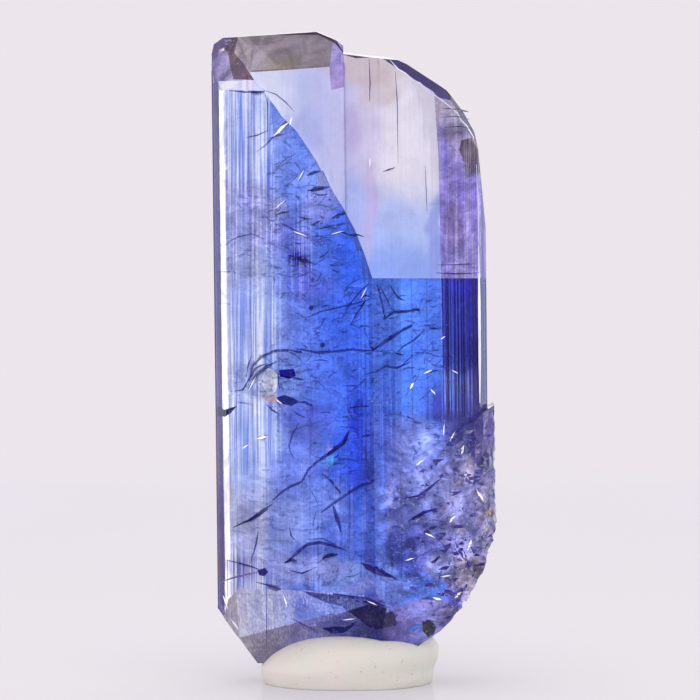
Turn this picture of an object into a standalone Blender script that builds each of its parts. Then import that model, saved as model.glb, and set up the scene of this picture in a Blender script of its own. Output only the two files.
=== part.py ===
"""Double terminated tanzanite crystal, standing in a pressed pad of white mounting putty.

+X is to the right as the striated front is faced, +Y is away from the viewer and +Z is up.
The origin is on the resting surface, under the middle of the object.
Lengths are in millimetres until a mesh is finished, when MM turns them to metres.
"""

import math
import random

import bmesh
import bpy
from mathutils import Matrix, Vector, noise

MM = 0.001

# Heights above the resting surface
FOOT_HEIGHT = 1.0
BLANK_BOTTOM = 0.4
LEDGE_HEIGHT = 13.3
WINDOW_HEIGHT = 19.4
SIDE_TOP = 30.22
MAIN_TOP = 31.31

# The prism: one long ridge in front and one behind, a little further right
RIDGE_X = 0.93
BACK_RIDGE_X = 1.67
RIDGE_Y = 3.75
LEFT_X = -6.67
RIGHT_X = 6.38
SEAM_X = -0.35
SEAM_STEP = 0.1
SEAM_OVERLAP = 0.12
LEAN_DEGREES = 0.6
LEAN_HEIGHT = 15.7

# The corners of the prism's outline that both individuals share, as x and y
LEFT_FRONT = ((LEFT_X, -0.30), (-6.15, -1.45), (-5.60, -1.90))
LEFT_BACK = ((-5.40, 2.00), (-6.30, 1.20), (LEFT_X, 0.35))
RIGHT_FRONT = ((4.15, -3.00), (6.00, -1.20), (RIGHT_X, -0.20))
RIGHT_BACK = ((RIGHT_X, 0.60), (5.70, 1.70), (4.00, 3.00))
FRONT_RIDGE = (RIDGE_X, -RIDGE_Y)
BACK_RIDGE = (BACK_RIDGE_X, RIDGE_Y)

# Striations: the usual width of a groove and its depth, which is greater on the left third.
# A valley lies about the middle of its groove, and few grooves reach the full depth.
GROOVE_WIDTH = 0.30
GROOVE_DEPTH = 0.014
COARSE_DEPTH = 0.030
COARSE_SIDE_X = -3.9
VALLEY_PLACE = (0.3, 0.7)
SHALLOWEST = 0.25
SHALLOW_BIAS = 1.5
CREST_DRIFT = 0.15
CREST_DEPTH = 0.15

# What a blank has to spare above the highest face that cuts it, and half the width of a block
SPARE_HEIGHT = 1.0
BLOCK_HALF_WIDTH = 9.0

# The putty pad, a pillow with a flat foot
PAD_CENTRE_X = -0.34
PAD_HALF_WIDTH = 4.15
PAD_HALF_DEPTH = 3.70
PAD_HEIGHT = 2.42
PAD_SINK = 0.75
PAD_SHEAR = 0.5
PAD_SQUARENESS = 0.62
PAD_FLATNESS = 0.85
PAD_DENT = 0.025
PAD_DENTS = (1.7, 1.7, 1.2)
PAD_DENT_SEED = 4.0
PAD_SEGMENTS = 56
PAD_RINGS = 28
SOCKET_GAP = 0.3
SOCKET_SIDE_GAP = 0.39
SOCKET_TOP = 9.0

TANZANITE_BLUE = (0.10, 0.14, 0.72, 1.0)
PUTTY_WHITE = (0.84, 0.80, 0.74, 1.0)


def facing(azimuth, elevation):
    """Unit vector: azimuth 0 faces the viewer, 90 faces right and -90 left, in degrees."""
    a = math.radians(azimuth)
    e = math.radians(elevation)
    return Vector((math.sin(a) * math.cos(e), -math.cos(a) * math.cos(e), math.sin(e)))


def line_y(start, end, x):
    """The y of the straight line through two outline corners, at x."""
    return start[1] + (x - start[0]) * (end[1] - start[1]) / (end[0] - start[0])


def new_collection(name):
    collection = bpy.data.collections.new(name)
    bpy.context.scene.collection.children.link(collection)
    return collection


def clear_scene():
    for obj in list(bpy.data.objects):
        bpy.data.objects.remove(obj, do_unlink=True)


def material(name, colour, roughness, transmission=0.0, ior=1.5):
    made = bpy.data.materials.new(name)
    made.use_nodes = True
    shader = made.node_tree.nodes["Principled BSDF"]
    shader.inputs["Base Color"].default_value = colour
    shader.inputs["Roughness"].default_value = roughness
    shader.inputs["Metallic"].default_value = 0.0
    shader.inputs["Transmission Weight"].default_value = transmission
    shader.inputs["IOR"].default_value = ior
    made.diffuse_color = colour
    return made


def finish(mesh, name, collection, leaning):
    """Turns a bmesh in millimetres to an object in metres, leaning with the crystal if asked."""
    mesh.transform(Matrix.Scale(MM, 4))
    if leaning:
        pivot = Matrix.Translation((0, 0, LEAN_HEIGHT * MM))
        turn = Matrix.Rotation(math.radians(-LEAN_DEGREES), 4, "Y")
        mesh.transform(pivot @ turn @ pivot.inverted())
    bmesh.ops.recalc_face_normals(mesh, faces=mesh.faces)
    data = bpy.data.meshes.new(name)
    mesh.to_mesh(data)
    mesh.free()
    obj = bpy.data.objects.new(name, data)
    collection.objects.link(obj)
    return obj


def helper(mesh, name, collection, leaning=True):
    obj = finish(mesh, name, collection, leaning)
    obj.hide_render = True
    obj.display_type = "WIRE"
    return obj


def combine(target, operation, other):
    step = target.modifiers.new(f"{operation.lower()} {other.name}", "BOOLEAN")
    step.operation = operation
    step.object = other
    step.solver = "EXACT"
    step.use_self = operation == "INTERSECT"


def cut_away(mesh, azimuth, elevation, point):
    """Removes what lies beyond a flat crystal face and closes the cut."""
    everything = mesh.verts[:] + mesh.edges[:] + mesh.faces[:]
    bmesh.ops.bisect_plane(
        mesh,
        geom=everything,
        dist=1e-5,
        plane_co=Vector(point),
        plane_no=facing(azimuth, elevation),
        clear_outer=True,
    )
    bmesh.ops.holes_fill(mesh, edges=[e for e in mesh.edges if e.is_boundary], sides=0)


def striated(corners, seed):
    """The outline with grooves between its corners, where a side is wide enough to hold one."""
    rng = random.Random(seed)
    points = []
    for start, end in zip(corners, corners[1:] + corners[:1]):
        a = Vector(start)
        b = Vector(end)
        along = b - a
        inward = Vector((-along.y, along.x)).normalized()
        grooves = int(along.length / GROOVE_WIDTH)
        points.append(a)
        for k in range(grooves):
            valley = a + along * (k + rng.uniform(*VALLEY_PLACE)) / grooves
            deepest = COARSE_DEPTH if valley.x < COARSE_SIDE_X else GROOVE_DEPTH
            points.append(valley + inward * deepest * rng.uniform(SHALLOWEST, 1.0) ** SHALLOW_BIAS)
            if k < grooves - 1:
                crest = a + along * (k + 1 + rng.uniform(-CREST_DRIFT, CREST_DRIFT)) / grooves
                points.append(crest + inward * deepest * rng.uniform(0.0, CREST_DEPTH))
    return points


def column(outline, bottom, top):
    """An upright prism of this outline."""
    mesh = bmesh.new()
    foot = mesh.faces.new([mesh.verts.new((p[0], p[1], bottom)) for p in outline])
    raised = bmesh.ops.extrude_face_region(mesh, geom=[foot])
    lifted = [v for v in raised["geom"] if isinstance(v, bmesh.types.BMVert)]
    bmesh.ops.translate(mesh, verts=lifted, vec=(0, 0, top - bottom))
    return mesh


def block(high):
    """A plain block about the crystal's axis, from the resting surface up, to be cut to a convex form."""
    mesh = bmesh.new()
    size = Matrix.Diagonal((2 * BLOCK_HALF_WIDTH, 2 * BLOCK_HALF_WIDTH, high, 1))
    place = Matrix.Translation((0, 0, high / 2))
    bmesh.ops.create_cube(mesh, size=1.0, matrix=place @ size)
    return mesh


# Crystal faces that cut the ends, as azimuth, elevation and a point on the face
MAIN_END_FACES = (
    (-90, 86.5, (-1.95, 0.0, MAIN_TOP)),
    (-19.6, 45, (-1.14, -3.16, 29.77)),
    (-44, 29, (-4.66, -2.17, 29.53)),
    (-90, 55, (-6.5, 0.0, 30.79)),
    (90, 68, (-1.42, 0.0, 31.24)),
    (90, 52, (-0.7, 0.0, 30.95)),
)

SIDE_END_FACES = (
    (90, 83, (0.3, 0.0, SIDE_TOP)),
    (96, 65, (1.90, -2.9, 30.13)),
    (97, 56.7, (3.55, -2.7, 29.18)),
    (97, 40, (4.85, -2.0, 28.08)),
    (97, 30.4, (5.55, -1.5, 27.10)),
    (94, 10.9, (5.94, -1.1, 26.12)),
    (90, 5.1, (6.21, -0.6, 23.69)),
)

# Narrow bevels between those faces and the front
SIDE_BEVELS = (
    (40.4, 35.1, (2.94, -3.28, 29.10)),
    (48.3, 25.9, (4.06, -3.02, 28.27)),
    (68.5, 16.9, (5.02, -2.15, 27.50)),
)

FOOT_FACES = (
    (-90, -35.0, (-6.62, 0.0, 3.62)),
    (90, -21.0, (6.58, 0.0, 6.9)),
    (90, -29.3, (5.77, 0.0, 4.96)),
    (90, -35.3, (5.16, 0.0, 4.0)),
    (90, -46.7, (4.31, 0.0, 3.04)),
    (90, -56.0, (2.9, 0.0, 1.97)),
    (-16.4, -24.0, (-2.3, -2.83, 4.75)),
    (13.0, -28.0, (2.5, -3.38, 4.1)),
    (180, -35.0, (BACK_RIDGE_X, RIDGE_Y, 5.1)),
    (0, -90, (0.0, 0.0, FOOT_HEIGHT)),
)

# The window: a gently curved growth face that thins the upper part from behind.
# It runs parallel to the two walls behind on the right, in facets of this rise and elevation.
WINDOW_AZIMUTHS = (162.2, 142.6)
WINDOW_FACETS = ((2.3, 10.5), (2.1, 16.4), (2.6, 17.4), (4.0, 22.8))


def window_faces():
    """The facets of the curved face: each starts where the one below it ends."""
    faces = []
    for azimuth, start in zip(WINDOW_AZIMUTHS, (BACK_RIDGE, RIGHT_BACK[2])):
        outward = facing(azimuth, 0)
        place = Vector((start[0], start[1], WINDOW_HEIGHT))
        for rise, elevation in WINDOW_FACETS:
            faces.append((azimuth, elevation, place.copy()))
            place -= outward * rise * math.tan(math.radians(elevation))
            place.z += rise
    return faces


def main_individual(collection):
    """The taller individual on the left, from the resting end to the highest top."""
    seam_front = (SEAM_X, line_y(LEFT_FRONT[2], FRONT_RIDGE, SEAM_X))
    seam_back = (SEAM_X, line_y(LEFT_BACK[0], BACK_RIDGE, SEAM_X))
    corners = [*LEFT_FRONT, seam_front, seam_back, *LEFT_BACK]
    mesh = column(striated(corners, seed=3), BLANK_BOTTOM, MAIN_TOP + SPARE_HEIGHT)
    for face in MAIN_END_FACES:
        cut_away(mesh, *face)
    return finish(mesh, "tanzanite_crystal", collection, leaning=True)


def side_individual(collection):
    """The lower individual on the right, grown parallel to the first and a little behind its faces."""
    inner_x = SEAM_X - SEAM_OVERLAP
    inner_front = (inner_x, line_y(LEFT_FRONT[2], FRONT_RIDGE, inner_x) + SEAM_STEP)
    inner_back = (inner_x, line_y(LEFT_BACK[0], BACK_RIDGE, inner_x) - SEAM_STEP)
    corners = [inner_front, FRONT_RIDGE, *RIGHT_FRONT, *RIGHT_BACK, BACK_RIDGE, inner_back]
    mesh = column(striated(corners, seed=8), BLANK_BOTTOM, SIDE_TOP + SPARE_HEIGHT)
    for face in (*SIDE_END_FACES, *SIDE_BEVELS):
        cut_away(mesh, *face)
    return helper(mesh, "side_individual", collection)


# The etched layer: its outline, the face that ends it above, and its relief
OVERGROWTH_CORNERS = (
    (2.2, -3.52),
    (4.25, -3.12),
    (6.15, -1.30),
    (6.69, -0.10),
    (6.72, 0.80),
    (5.90, 1.90),
    (4.10, 2.80),
    (2.2, 2.20),
)
OVERGROWTH_END_FACE = (-90, 58.5, (6.6, 0.0, LEDGE_HEIGHT))
OVERGROWTH_LONGEST_EDGE = 0.93
OVERGROWTH_ROUNDS = 5
OVERGROWTH_RELIEF = 0.11
OVERGROWTH_PER_MM = 0.95
# Vector noise takes its offsets from the clock unless it is given a seed
OVERGROWTH_SEED = 1795833188


def overgrowth(collection):
    """The etched layer low on the right side, which ends above in a ledge."""
    mesh = column([Vector(c) for c in OVERGROWTH_CORNERS], BLANK_BOTTOM, LEDGE_HEIGHT + SPARE_HEIGHT)
    cut_away(mesh, *OVERGROWTH_END_FACE)
    for _ in range(OVERGROWTH_ROUNDS):
        long_edges = [e for e in mesh.edges if e.calc_length() > OVERGROWTH_LONGEST_EDGE]
        bmesh.ops.subdivide_edges(mesh, edges=long_edges, cuts=1, use_grid_fill=True)
    bmesh.ops.triangulate(mesh, faces=mesh.faces)
    noise.seed_set(OVERGROWTH_SEED)
    for vertex in mesh.verts:
        shift = noise.noise_vector(vertex.co * OVERGROWTH_PER_MM)
        vertex.co += shift * OVERGROWTH_RELIEF
    return helper(mesh, "overgrowth", collection)


def end_envelope(collection):
    """The convex form inside which both individuals end: the window above and the foot faces."""
    mesh = block(MAIN_TOP + SPARE_HEIGHT)
    for face in [*window_faces(), *FOOT_FACES]:
        cut_away(mesh, *face)
    return helper(mesh, "end_envelope", collection)


# Chips and conchoidal breaks, as centre and radius
CHIPS = {
    "foot_left_low": ((-6.55, -1.3, 1.2), 1.55),
    "foot_left_high": ((-7.15, -1.65, 2.95), 1.15),
    "left_edge_nick": ((-7.02, -0.75, 13.35), 0.50),
    "side_top_dip": ((0.62, 0.2, 31.85), 1.75),
    "side_top_tooth": ((1.85, -0.9, 30.75), 0.62),
    "ledge_nick": ((7.0, -0.5, 13.9), 0.55),
    "foot_right_high": ((7.35, -0.4, 4.85), 1.15),
    "foot_right_front": ((5.9, -2.9, 3.7), 1.20),
    "foot_right_low": ((5.2, -0.6, 1.75), 1.30),
    "foot_right_back": ((6.6, 2.4, 4.6), 1.40),
}
CHIP_FINENESS = 3
CHIP_RIPPLE = 0.07
CHIP_RIPPLES_PER_MM = 2.3


def chip(name, centre, radius, collection):
    """One shell-shaped break: a ball whose surface is gently rippled."""
    mesh = bmesh.new()
    bmesh.ops.create_icosphere(mesh, subdivisions=CHIP_FINENESS, radius=radius)
    for vertex in mesh.verts:
        outward = vertex.co.normalized()
        vertex.co += Vector(centre)
        vertex.co += outward * radius * CHIP_RIPPLE * noise.noise(vertex.co * CHIP_RIPPLES_PER_MM)
    return helper(mesh, f"chip_{name}", collection)


def crystal(parts, helpers):
    body = main_individual(parts)
    combine(body, "UNION", side_individual(helpers))
    combine(body, "UNION", overgrowth(helpers))
    combine(body, "INTERSECT", end_envelope(helpers))
    for name, (centre, radius) in CHIPS.items():
        combine(body, "DIFFERENCE", chip(name, centre, radius, helpers))
    body.data.materials.append(material("tanzanite", TANZANITE_BLUE, 0.05, 1.0, 1.69))
    return body


def socket(collection):
    """The crystal's foot, larger all round by the gap, to press into the putty."""
    mesh = block(SOCKET_TOP)
    outline = [*LEFT_FRONT, FRONT_RIDGE, *RIGHT_FRONT, *RIGHT_BACK, BACK_RIDGE, *LEFT_BACK]
    for start, end in zip(outline, outline[1:] + outline[:1]):
        azimuth = math.degrees(math.atan2(end[1] - start[1], end[0] - start[0]))
        outward = facing(azimuth, 0)
        grown = Vector((start[0], start[1], 0)) + outward * SOCKET_SIDE_GAP
        cut_away(mesh, azimuth, 0, grown)
    for azimuth, elevation, point in FOOT_FACES:
        cut_away(mesh, azimuth, elevation, Vector(point) + facing(azimuth, elevation) * SOCKET_GAP)
    return helper(mesh, "foot_socket", collection)


def pad(parts, helpers):
    """A pinch of putty pressed to a pillow: flat below, soft edges, a few shallow finger dents."""
    mesh = bmesh.new()
    bmesh.ops.create_uvsphere(mesh, u_segments=PAD_SEGMENTS, v_segments=PAD_RINGS, radius=1.0)
    for vertex in mesh.verts:
        x, y, z = vertex.co
        flat = math.hypot(x, y)
        widen = flat ** PAD_SQUARENESS / flat if flat > 1e-6 else 0.0
        place = vertex.co * Vector(PAD_DENTS) + Vector((0, 0, PAD_DENT_SEED))
        dent = 1 + PAD_DENT * noise.noise(place)
        height = (PAD_HEIGHT - PAD_SINK) * math.copysign(abs(z) ** PAD_FLATNESS, z)
        vertex.co = Vector((
            PAD_CENTRE_X + x * widen * PAD_HALF_WIDTH * dent + PAD_SHEAR * max(height, 0.0),
            y * widen * PAD_HALF_DEPTH * dent,
            height + PAD_SINK,
        ))
    cut_away(mesh, 0, -90, (0, 0, 0))
    body = finish(mesh, "putty_pad", parts, leaning=False)
    combine(body, "DIFFERENCE", socket(helpers))
    body.data.materials.append(material("mounting_putty", PUTTY_WHITE, 0.6))
    return body


def main():
    clear_scene()
    parts = new_collection("tanzanite_specimen")
    helpers = new_collection("growth_and_cutters")
    crystal(parts, helpers)
    pad(parts, helpers)


main()
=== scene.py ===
import math
import random

import bmesh
import bpy
import numpy as np
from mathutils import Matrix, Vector, noise
from mathutils.bvhtree import BVHTree


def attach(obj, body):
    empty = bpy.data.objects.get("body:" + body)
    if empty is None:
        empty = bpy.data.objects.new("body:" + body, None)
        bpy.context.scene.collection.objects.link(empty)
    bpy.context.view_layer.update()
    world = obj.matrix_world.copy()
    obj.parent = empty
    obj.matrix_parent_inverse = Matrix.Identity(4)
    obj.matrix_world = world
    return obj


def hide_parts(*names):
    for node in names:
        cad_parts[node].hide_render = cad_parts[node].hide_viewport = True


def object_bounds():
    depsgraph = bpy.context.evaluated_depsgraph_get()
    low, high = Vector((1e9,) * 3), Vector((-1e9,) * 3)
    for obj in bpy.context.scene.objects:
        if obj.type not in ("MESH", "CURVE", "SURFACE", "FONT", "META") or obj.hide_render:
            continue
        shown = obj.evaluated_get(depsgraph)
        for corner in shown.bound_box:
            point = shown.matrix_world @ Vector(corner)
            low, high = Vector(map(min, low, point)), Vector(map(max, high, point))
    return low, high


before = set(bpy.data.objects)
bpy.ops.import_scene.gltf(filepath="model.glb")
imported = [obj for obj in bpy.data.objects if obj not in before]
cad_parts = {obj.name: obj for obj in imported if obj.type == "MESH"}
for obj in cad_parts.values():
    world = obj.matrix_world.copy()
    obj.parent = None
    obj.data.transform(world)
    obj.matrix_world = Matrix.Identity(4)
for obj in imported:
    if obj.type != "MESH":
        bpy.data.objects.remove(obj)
cadLow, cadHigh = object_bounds()

mm = 0.001

# Vector noise takes its offsets from the clock unless it is given a seed
noiseSeed = 4
noise.seed_set(noiseSeed)


def hexColour(code):
    # sRGB hex to the linear colour that the shaders take
    parts = [int(code[i:i + 2], 16) / 255 for i in (1, 3, 5)]
    return tuple(c / 12.92 if c <= 0.04045 else ((c + 0.055) / 1.055) ** 2.4 for c in parts)


def paintOf(code):
    return (*hexColour(code), 1.0)


def addNode(tree, kind, settings=None, **links):
    # one node with its settings and what goes into its sockets: a link or a plain value
    node = tree.nodes.new(kind)
    for name, value in (settings or {}).items():
        setattr(node, name, value)
    for name, value in links.items():
        key = int(name[1:]) if name[0] == "i" and name[1:].isdigit() else name.replace("_", " ")
        socket = node.inputs[key]
        if isinstance(value, bpy.types.NodeSocket):
            tree.links.new(value, socket)
        else:
            socket.default_value = value
    return node


def newMaterial(name):
    made = bpy.data.materials.new(name)
    made.use_nodes = True
    made.node_tree.nodes.clear()
    return made, made.node_tree


def deselectAll():
    for obj in bpy.context.selected_objects:
        obj.select_set(False)


def makeActive(obj):
    deselectAll()
    obj.select_set(True)
    bpy.context.view_layer.objects.active = obj


def applyModifiers(obj):
    makeActive(obj)
    for modifier in list(obj.modifiers):
        bpy.ops.object.modifier_apply(modifier=modifier.name)


def joinPieces(pieces, name):
    deselectAll()
    for piece in pieces:
        piece.select_set(True)
    bpy.context.view_layer.objects.active = pieces[0]
    bpy.ops.object.join()
    joined = bpy.context.object
    joined.name = name
    joined.data.name = name
    return joined


# The camera: level with the middle of the crystal and a little above it, through a long lens
cameraPlace = {
    "target": Vector((-0.19, 0.0, 16.03)) * mm,
    "distance": 300 * mm,
    "elevation": 4.0,
    "sensor": 36.0,
    "frameHeight": 33.6 * mm,
}


def buildCamera(place):
    data = bpy.data.cameras.new("camera")
    camera = bpy.data.objects.new("camera", data)
    bpy.context.scene.collection.objects.link(camera)
    tilt = math.radians(place["elevation"])
    back = Vector((0, -math.cos(tilt), math.sin(tilt)))
    camera.location = place["target"] + back * place["distance"]
    camera.rotation_euler = (math.radians(90) - tilt, 0, 0)
    data.sensor_width = place["sensor"]
    data.lens = place["sensor"] * place["distance"] / place["frameHeight"]
    data.clip_start = 0.01
    bpy.context.scene.camera = camera


buildCamera(cameraPlace)
print("camera placed")

# The stage: a matte pale table, glossy only where the specimen stands, under a soft pale sky. Two
# soft boxes behind, out of the picture on both sides, shine through the crystal.
stageLook = {
    "tableRadius": 3.0,
    "tableColour": "#d3d1d6",
    "boxInner": 14.2,
    "boxOuter": 66.0,
    "boxDistance": 0.10,
    "boxHeight": 0.04,
    "boxColour": (0.88, 0.96, 1.06),
    "boxLevel": 1.30,
    "glossShare": 0.10,
    "glossInner": 0.006,
    "glossOuter": 0.05,
    "glossRoughness": 0.08,
    "skyColour": (1.0, 0.965, 1.0),
    "frontLevel": 1.45,
    "behindLevel": 1.3,
    "zenithColour": (0.80, 0.74, 0.72),
    "zenithStart": 0.5,
    "behindStart": 0.2,
    "behindFull": 0.75,
}


def buildStage(look):
    bpy.ops.mesh.primitive_circle_add(vertices=96, radius=look["tableRadius"], fill_type="NGON")
    table = bpy.context.object
    table.name = "table"
    material, tree = newMaterial("satin white table")
    where = addNode(tree, "ShaderNodeTexCoord")
    reach = addNode(tree, "ShaderNodeVectorMath", {"operation": "LENGTH"}, i0=where.outputs["Object"])
    share = addNode(tree, "ShaderNodeMapRange", {"interpolation_type": "SMOOTHSTEP"},
                    Value=reach.outputs["Value"], From_Min=look["glossOuter"],
                    From_Max=look["glossInner"], To_Max=look["glossShare"])
    matte = addNode(tree, "ShaderNodeBsdfDiffuse", Color=paintOf(look["tableColour"]))
    gloss = addNode(tree, "ShaderNodeBsdfGlossy", Color=(1, 1, 1, 1), Roughness=look["glossRoughness"])
    coat = addNode(tree, "ShaderNodeMixShader", i0=share.outputs[0], i1=matte.outputs[0],
                   i2=gloss.outputs[0])
    addNode(tree, "ShaderNodeOutputMaterial", Surface=coat.outputs[0])
    table.data.materials.append(material)

    cloth, tree = newMaterial("soft box cloth")
    # the cloth shines towards the crystal; its back is clear, so that it hides nothing from behind
    shine = addNode(tree, "ShaderNodeEmission", Color=(*look["boxColour"], 1), Strength=look["boxLevel"])
    facing = addNode(tree, "ShaderNodeNewGeometry")
    clear = addNode(tree, "ShaderNodeBsdfTransparent")
    oneSided = addNode(tree, "ShaderNodeMixShader", i0=facing.outputs["Backfacing"], i1=shine.outputs[0],
                       i2=clear.outputs[0])
    addNode(tree, "ShaderNodeOutputMaterial", Surface=oneSided.outputs[0])
    inner, outer = math.radians(look["boxInner"]), math.radians(look["boxOuter"])
    half = look["boxDistance"] * math.tan((outer - inner) / 2)
    for name, side in (("left", -1), ("right", 1)):
        turn = side * (inner + outer) / 2
        place = Vector((math.sin(turn), math.cos(turn), 0)) * look["boxDistance"]
        place.z = look["boxHeight"] / 2
        bpy.ops.mesh.primitive_plane_add(size=1, location=place, rotation=(math.radians(90), 0, -turn))
        box = bpy.context.object
        box.name = f"soft_box_{name}"
        box.scale = (2 * half, look["boxHeight"], 1)
        box.data.materials.append(cloth)

    world = bpy.data.worlds.new("studio")
    bpy.context.scene.world = world
    world.use_nodes = True
    tree = world.node_tree
    tree.nodes.clear()
    where = addNode(tree, "ShaderNodeTexCoord")
    parts = addNode(tree, "ShaderNodeSeparateXYZ", Vector=where.outputs["Generated"])
    height = addNode(tree, "ShaderNodeMapRange", {"interpolation_type": "SMOOTHSTEP"},
                     Value=parts.outputs["Z"], From_Min=look["zenithStart"], From_Max=1.0)
    sky = addNode(tree, "ShaderNodeMix", {"data_type": "RGBA"}, Factor=height.outputs[0],
                  i6=(*look["skyColour"], 1), i7=(*look["zenithColour"], 1))
    behind = addNode(tree, "ShaderNodeMapRange", {"interpolation_type": "SMOOTHSTEP"},
                     Value=parts.outputs["Y"], From_Min=look["behindStart"],
                     From_Max=look["behindFull"], To_Min=look["frontLevel"],
                     To_Max=look["behindLevel"])
    glow = addNode(tree, "ShaderNodeBackground", Color=sky.outputs[2], Strength=behind.outputs[0])
    addNode(tree, "ShaderNodeOutputWorld", Surface=glow.outputs[0])
    bpy.context.scene.view_settings.view_transform = "Standard"


buildStage(stageLook)
print("stage and light ready")

# The crystal leans a little to the left at its top. Its colour zones are laid out as seen from the
# front and slightly above, in millimetres: u across from its axis, w up from the table.
growthFrame = {
    "leanDegrees": 0.6,
    "leanHeight": 15.7,
    "eyeDistance": 300.0,
    "eyeAcross": -0.19,
    "eyeHeight": 16.03,
    "eyeElevation": 4.0,
    "ridge": 0.92,
    "ridgeFoot": 3.0,
    "levelEnd": 6.6,
    "backRidge": 1.3,
    "shiftLeft": 0.70,
    "shiftRight": 0.50,
    "ledge": 13.3,
    "frontReach": -20.0,
    "behindSlope": 0.3,
    "cutNear": -4.0,
    "ledgeBlend": 0.3,
    "drift": (0.9, 0.35),
    "fineDrift": (4.0, 0.10),
    "jagged": 0.45,
}

# Places read off the picture are in its own steps, counted right and down from its corner
picture = {"step": 0.048, "middleAcross": 353.96, "tableLine": 683.4, "stepUp": 0.0481}
leanSlope = math.tan(math.radians(growthFrame["leanDegrees"]))


def fromPicture(place):
    across = (place[0] - picture["middleAcross"]) * picture["step"]
    up = (picture["tableLine"] - place[1]) * picture["stepUp"]
    return across + leanSlope * (up - growthFrame["leanHeight"]), up


def placeAsSeen(points):
    # u and w of points given in metres, less shifted behind, where they are seen through the crystal
    f = growthFrame
    x, y, z = (points / mm).T
    tilt = math.radians(f["eyeElevation"])
    depth = np.where(y < 0, y, f["behindSlope"] * y)
    rise = (z - f["eyeHeight"]) * math.cos(tilt) + depth * math.sin(tilt)
    nearness = f["eyeDistance"] / (f["eyeDistance"] + depth)
    across = (x - f["eyeAcross"]) * nearness + f["eyeAcross"]
    w = f["eyeHeight"] + rise * nearness / math.cos(tilt)
    return across + leanSlope * (w - f["leanHeight"]), w


def toPlace(u, w, y):
    # the point in metres at this y that is seen at u and w
    f = growthFrame
    tilt = math.radians(f["eyeElevation"])
    nearness = f["eyeDistance"] / (f["eyeDistance"] + y)
    across = u - leanSlope * (w - f["leanHeight"])
    x = (across - f["eyeAcross"]) / nearness + f["eyeAcross"]
    rise = (w - f["eyeHeight"]) * math.cos(tilt) / nearness
    z = f["eyeHeight"] + (rise - y * math.sin(tilt)) / math.cos(tilt)
    return Vector((x, y, z)) * mm


def smooth(value, low, high):
    t = np.clip((value - low) / (high - low), 0, 1)
    return t * t * (3 - 2 * t)


# The growth face seen through the front: its edge curves down to the ridge and then runs level
windowEdge = (
    (-5.70, 30.85),
    (-4.66, 29.02),
    (-3.90, 28.06),
    (-3.34, 27.24),
    (-2.58, 26.47),
    (-1.72, 25.13),
    (-1.06, 23.87),
    (-0.45, 22.87),
    (0.11, 21.81),
    (0.55, 20.65),
    (0.92, 19.48),
)
bandEdge = ((3.95, 28.6), (4.15, 25.3), (4.22, 19.48), (4.30, 13.4))

crystalLook = {
    "stepAcross": 0.30 * mm,
    "stepDeep": 0.50 * mm,
    "stepUp": 0.16 * mm,
    "ior": 1.69,
    "reflectionTint": (0.06, 0.07, 0.30, 1.0),
    "absorption": (0.42, 0.42, 0.97),
    "absorptionDensity": 12.0,
    "endNormal": 0.27,
    "backEndNormal": 0.6,
    "footNormal": -0.3,
    "sideNormal": 0.93,
    "sideLevel": 0.3,
    "cutShift": 0.04,
    "cloudShown": 0.85,
    "leastCloud": 0.001,
    "flatDegrees": 0.3,
    "weld": 1e-6,
    "cutWeld": 1e-7,
}

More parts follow.
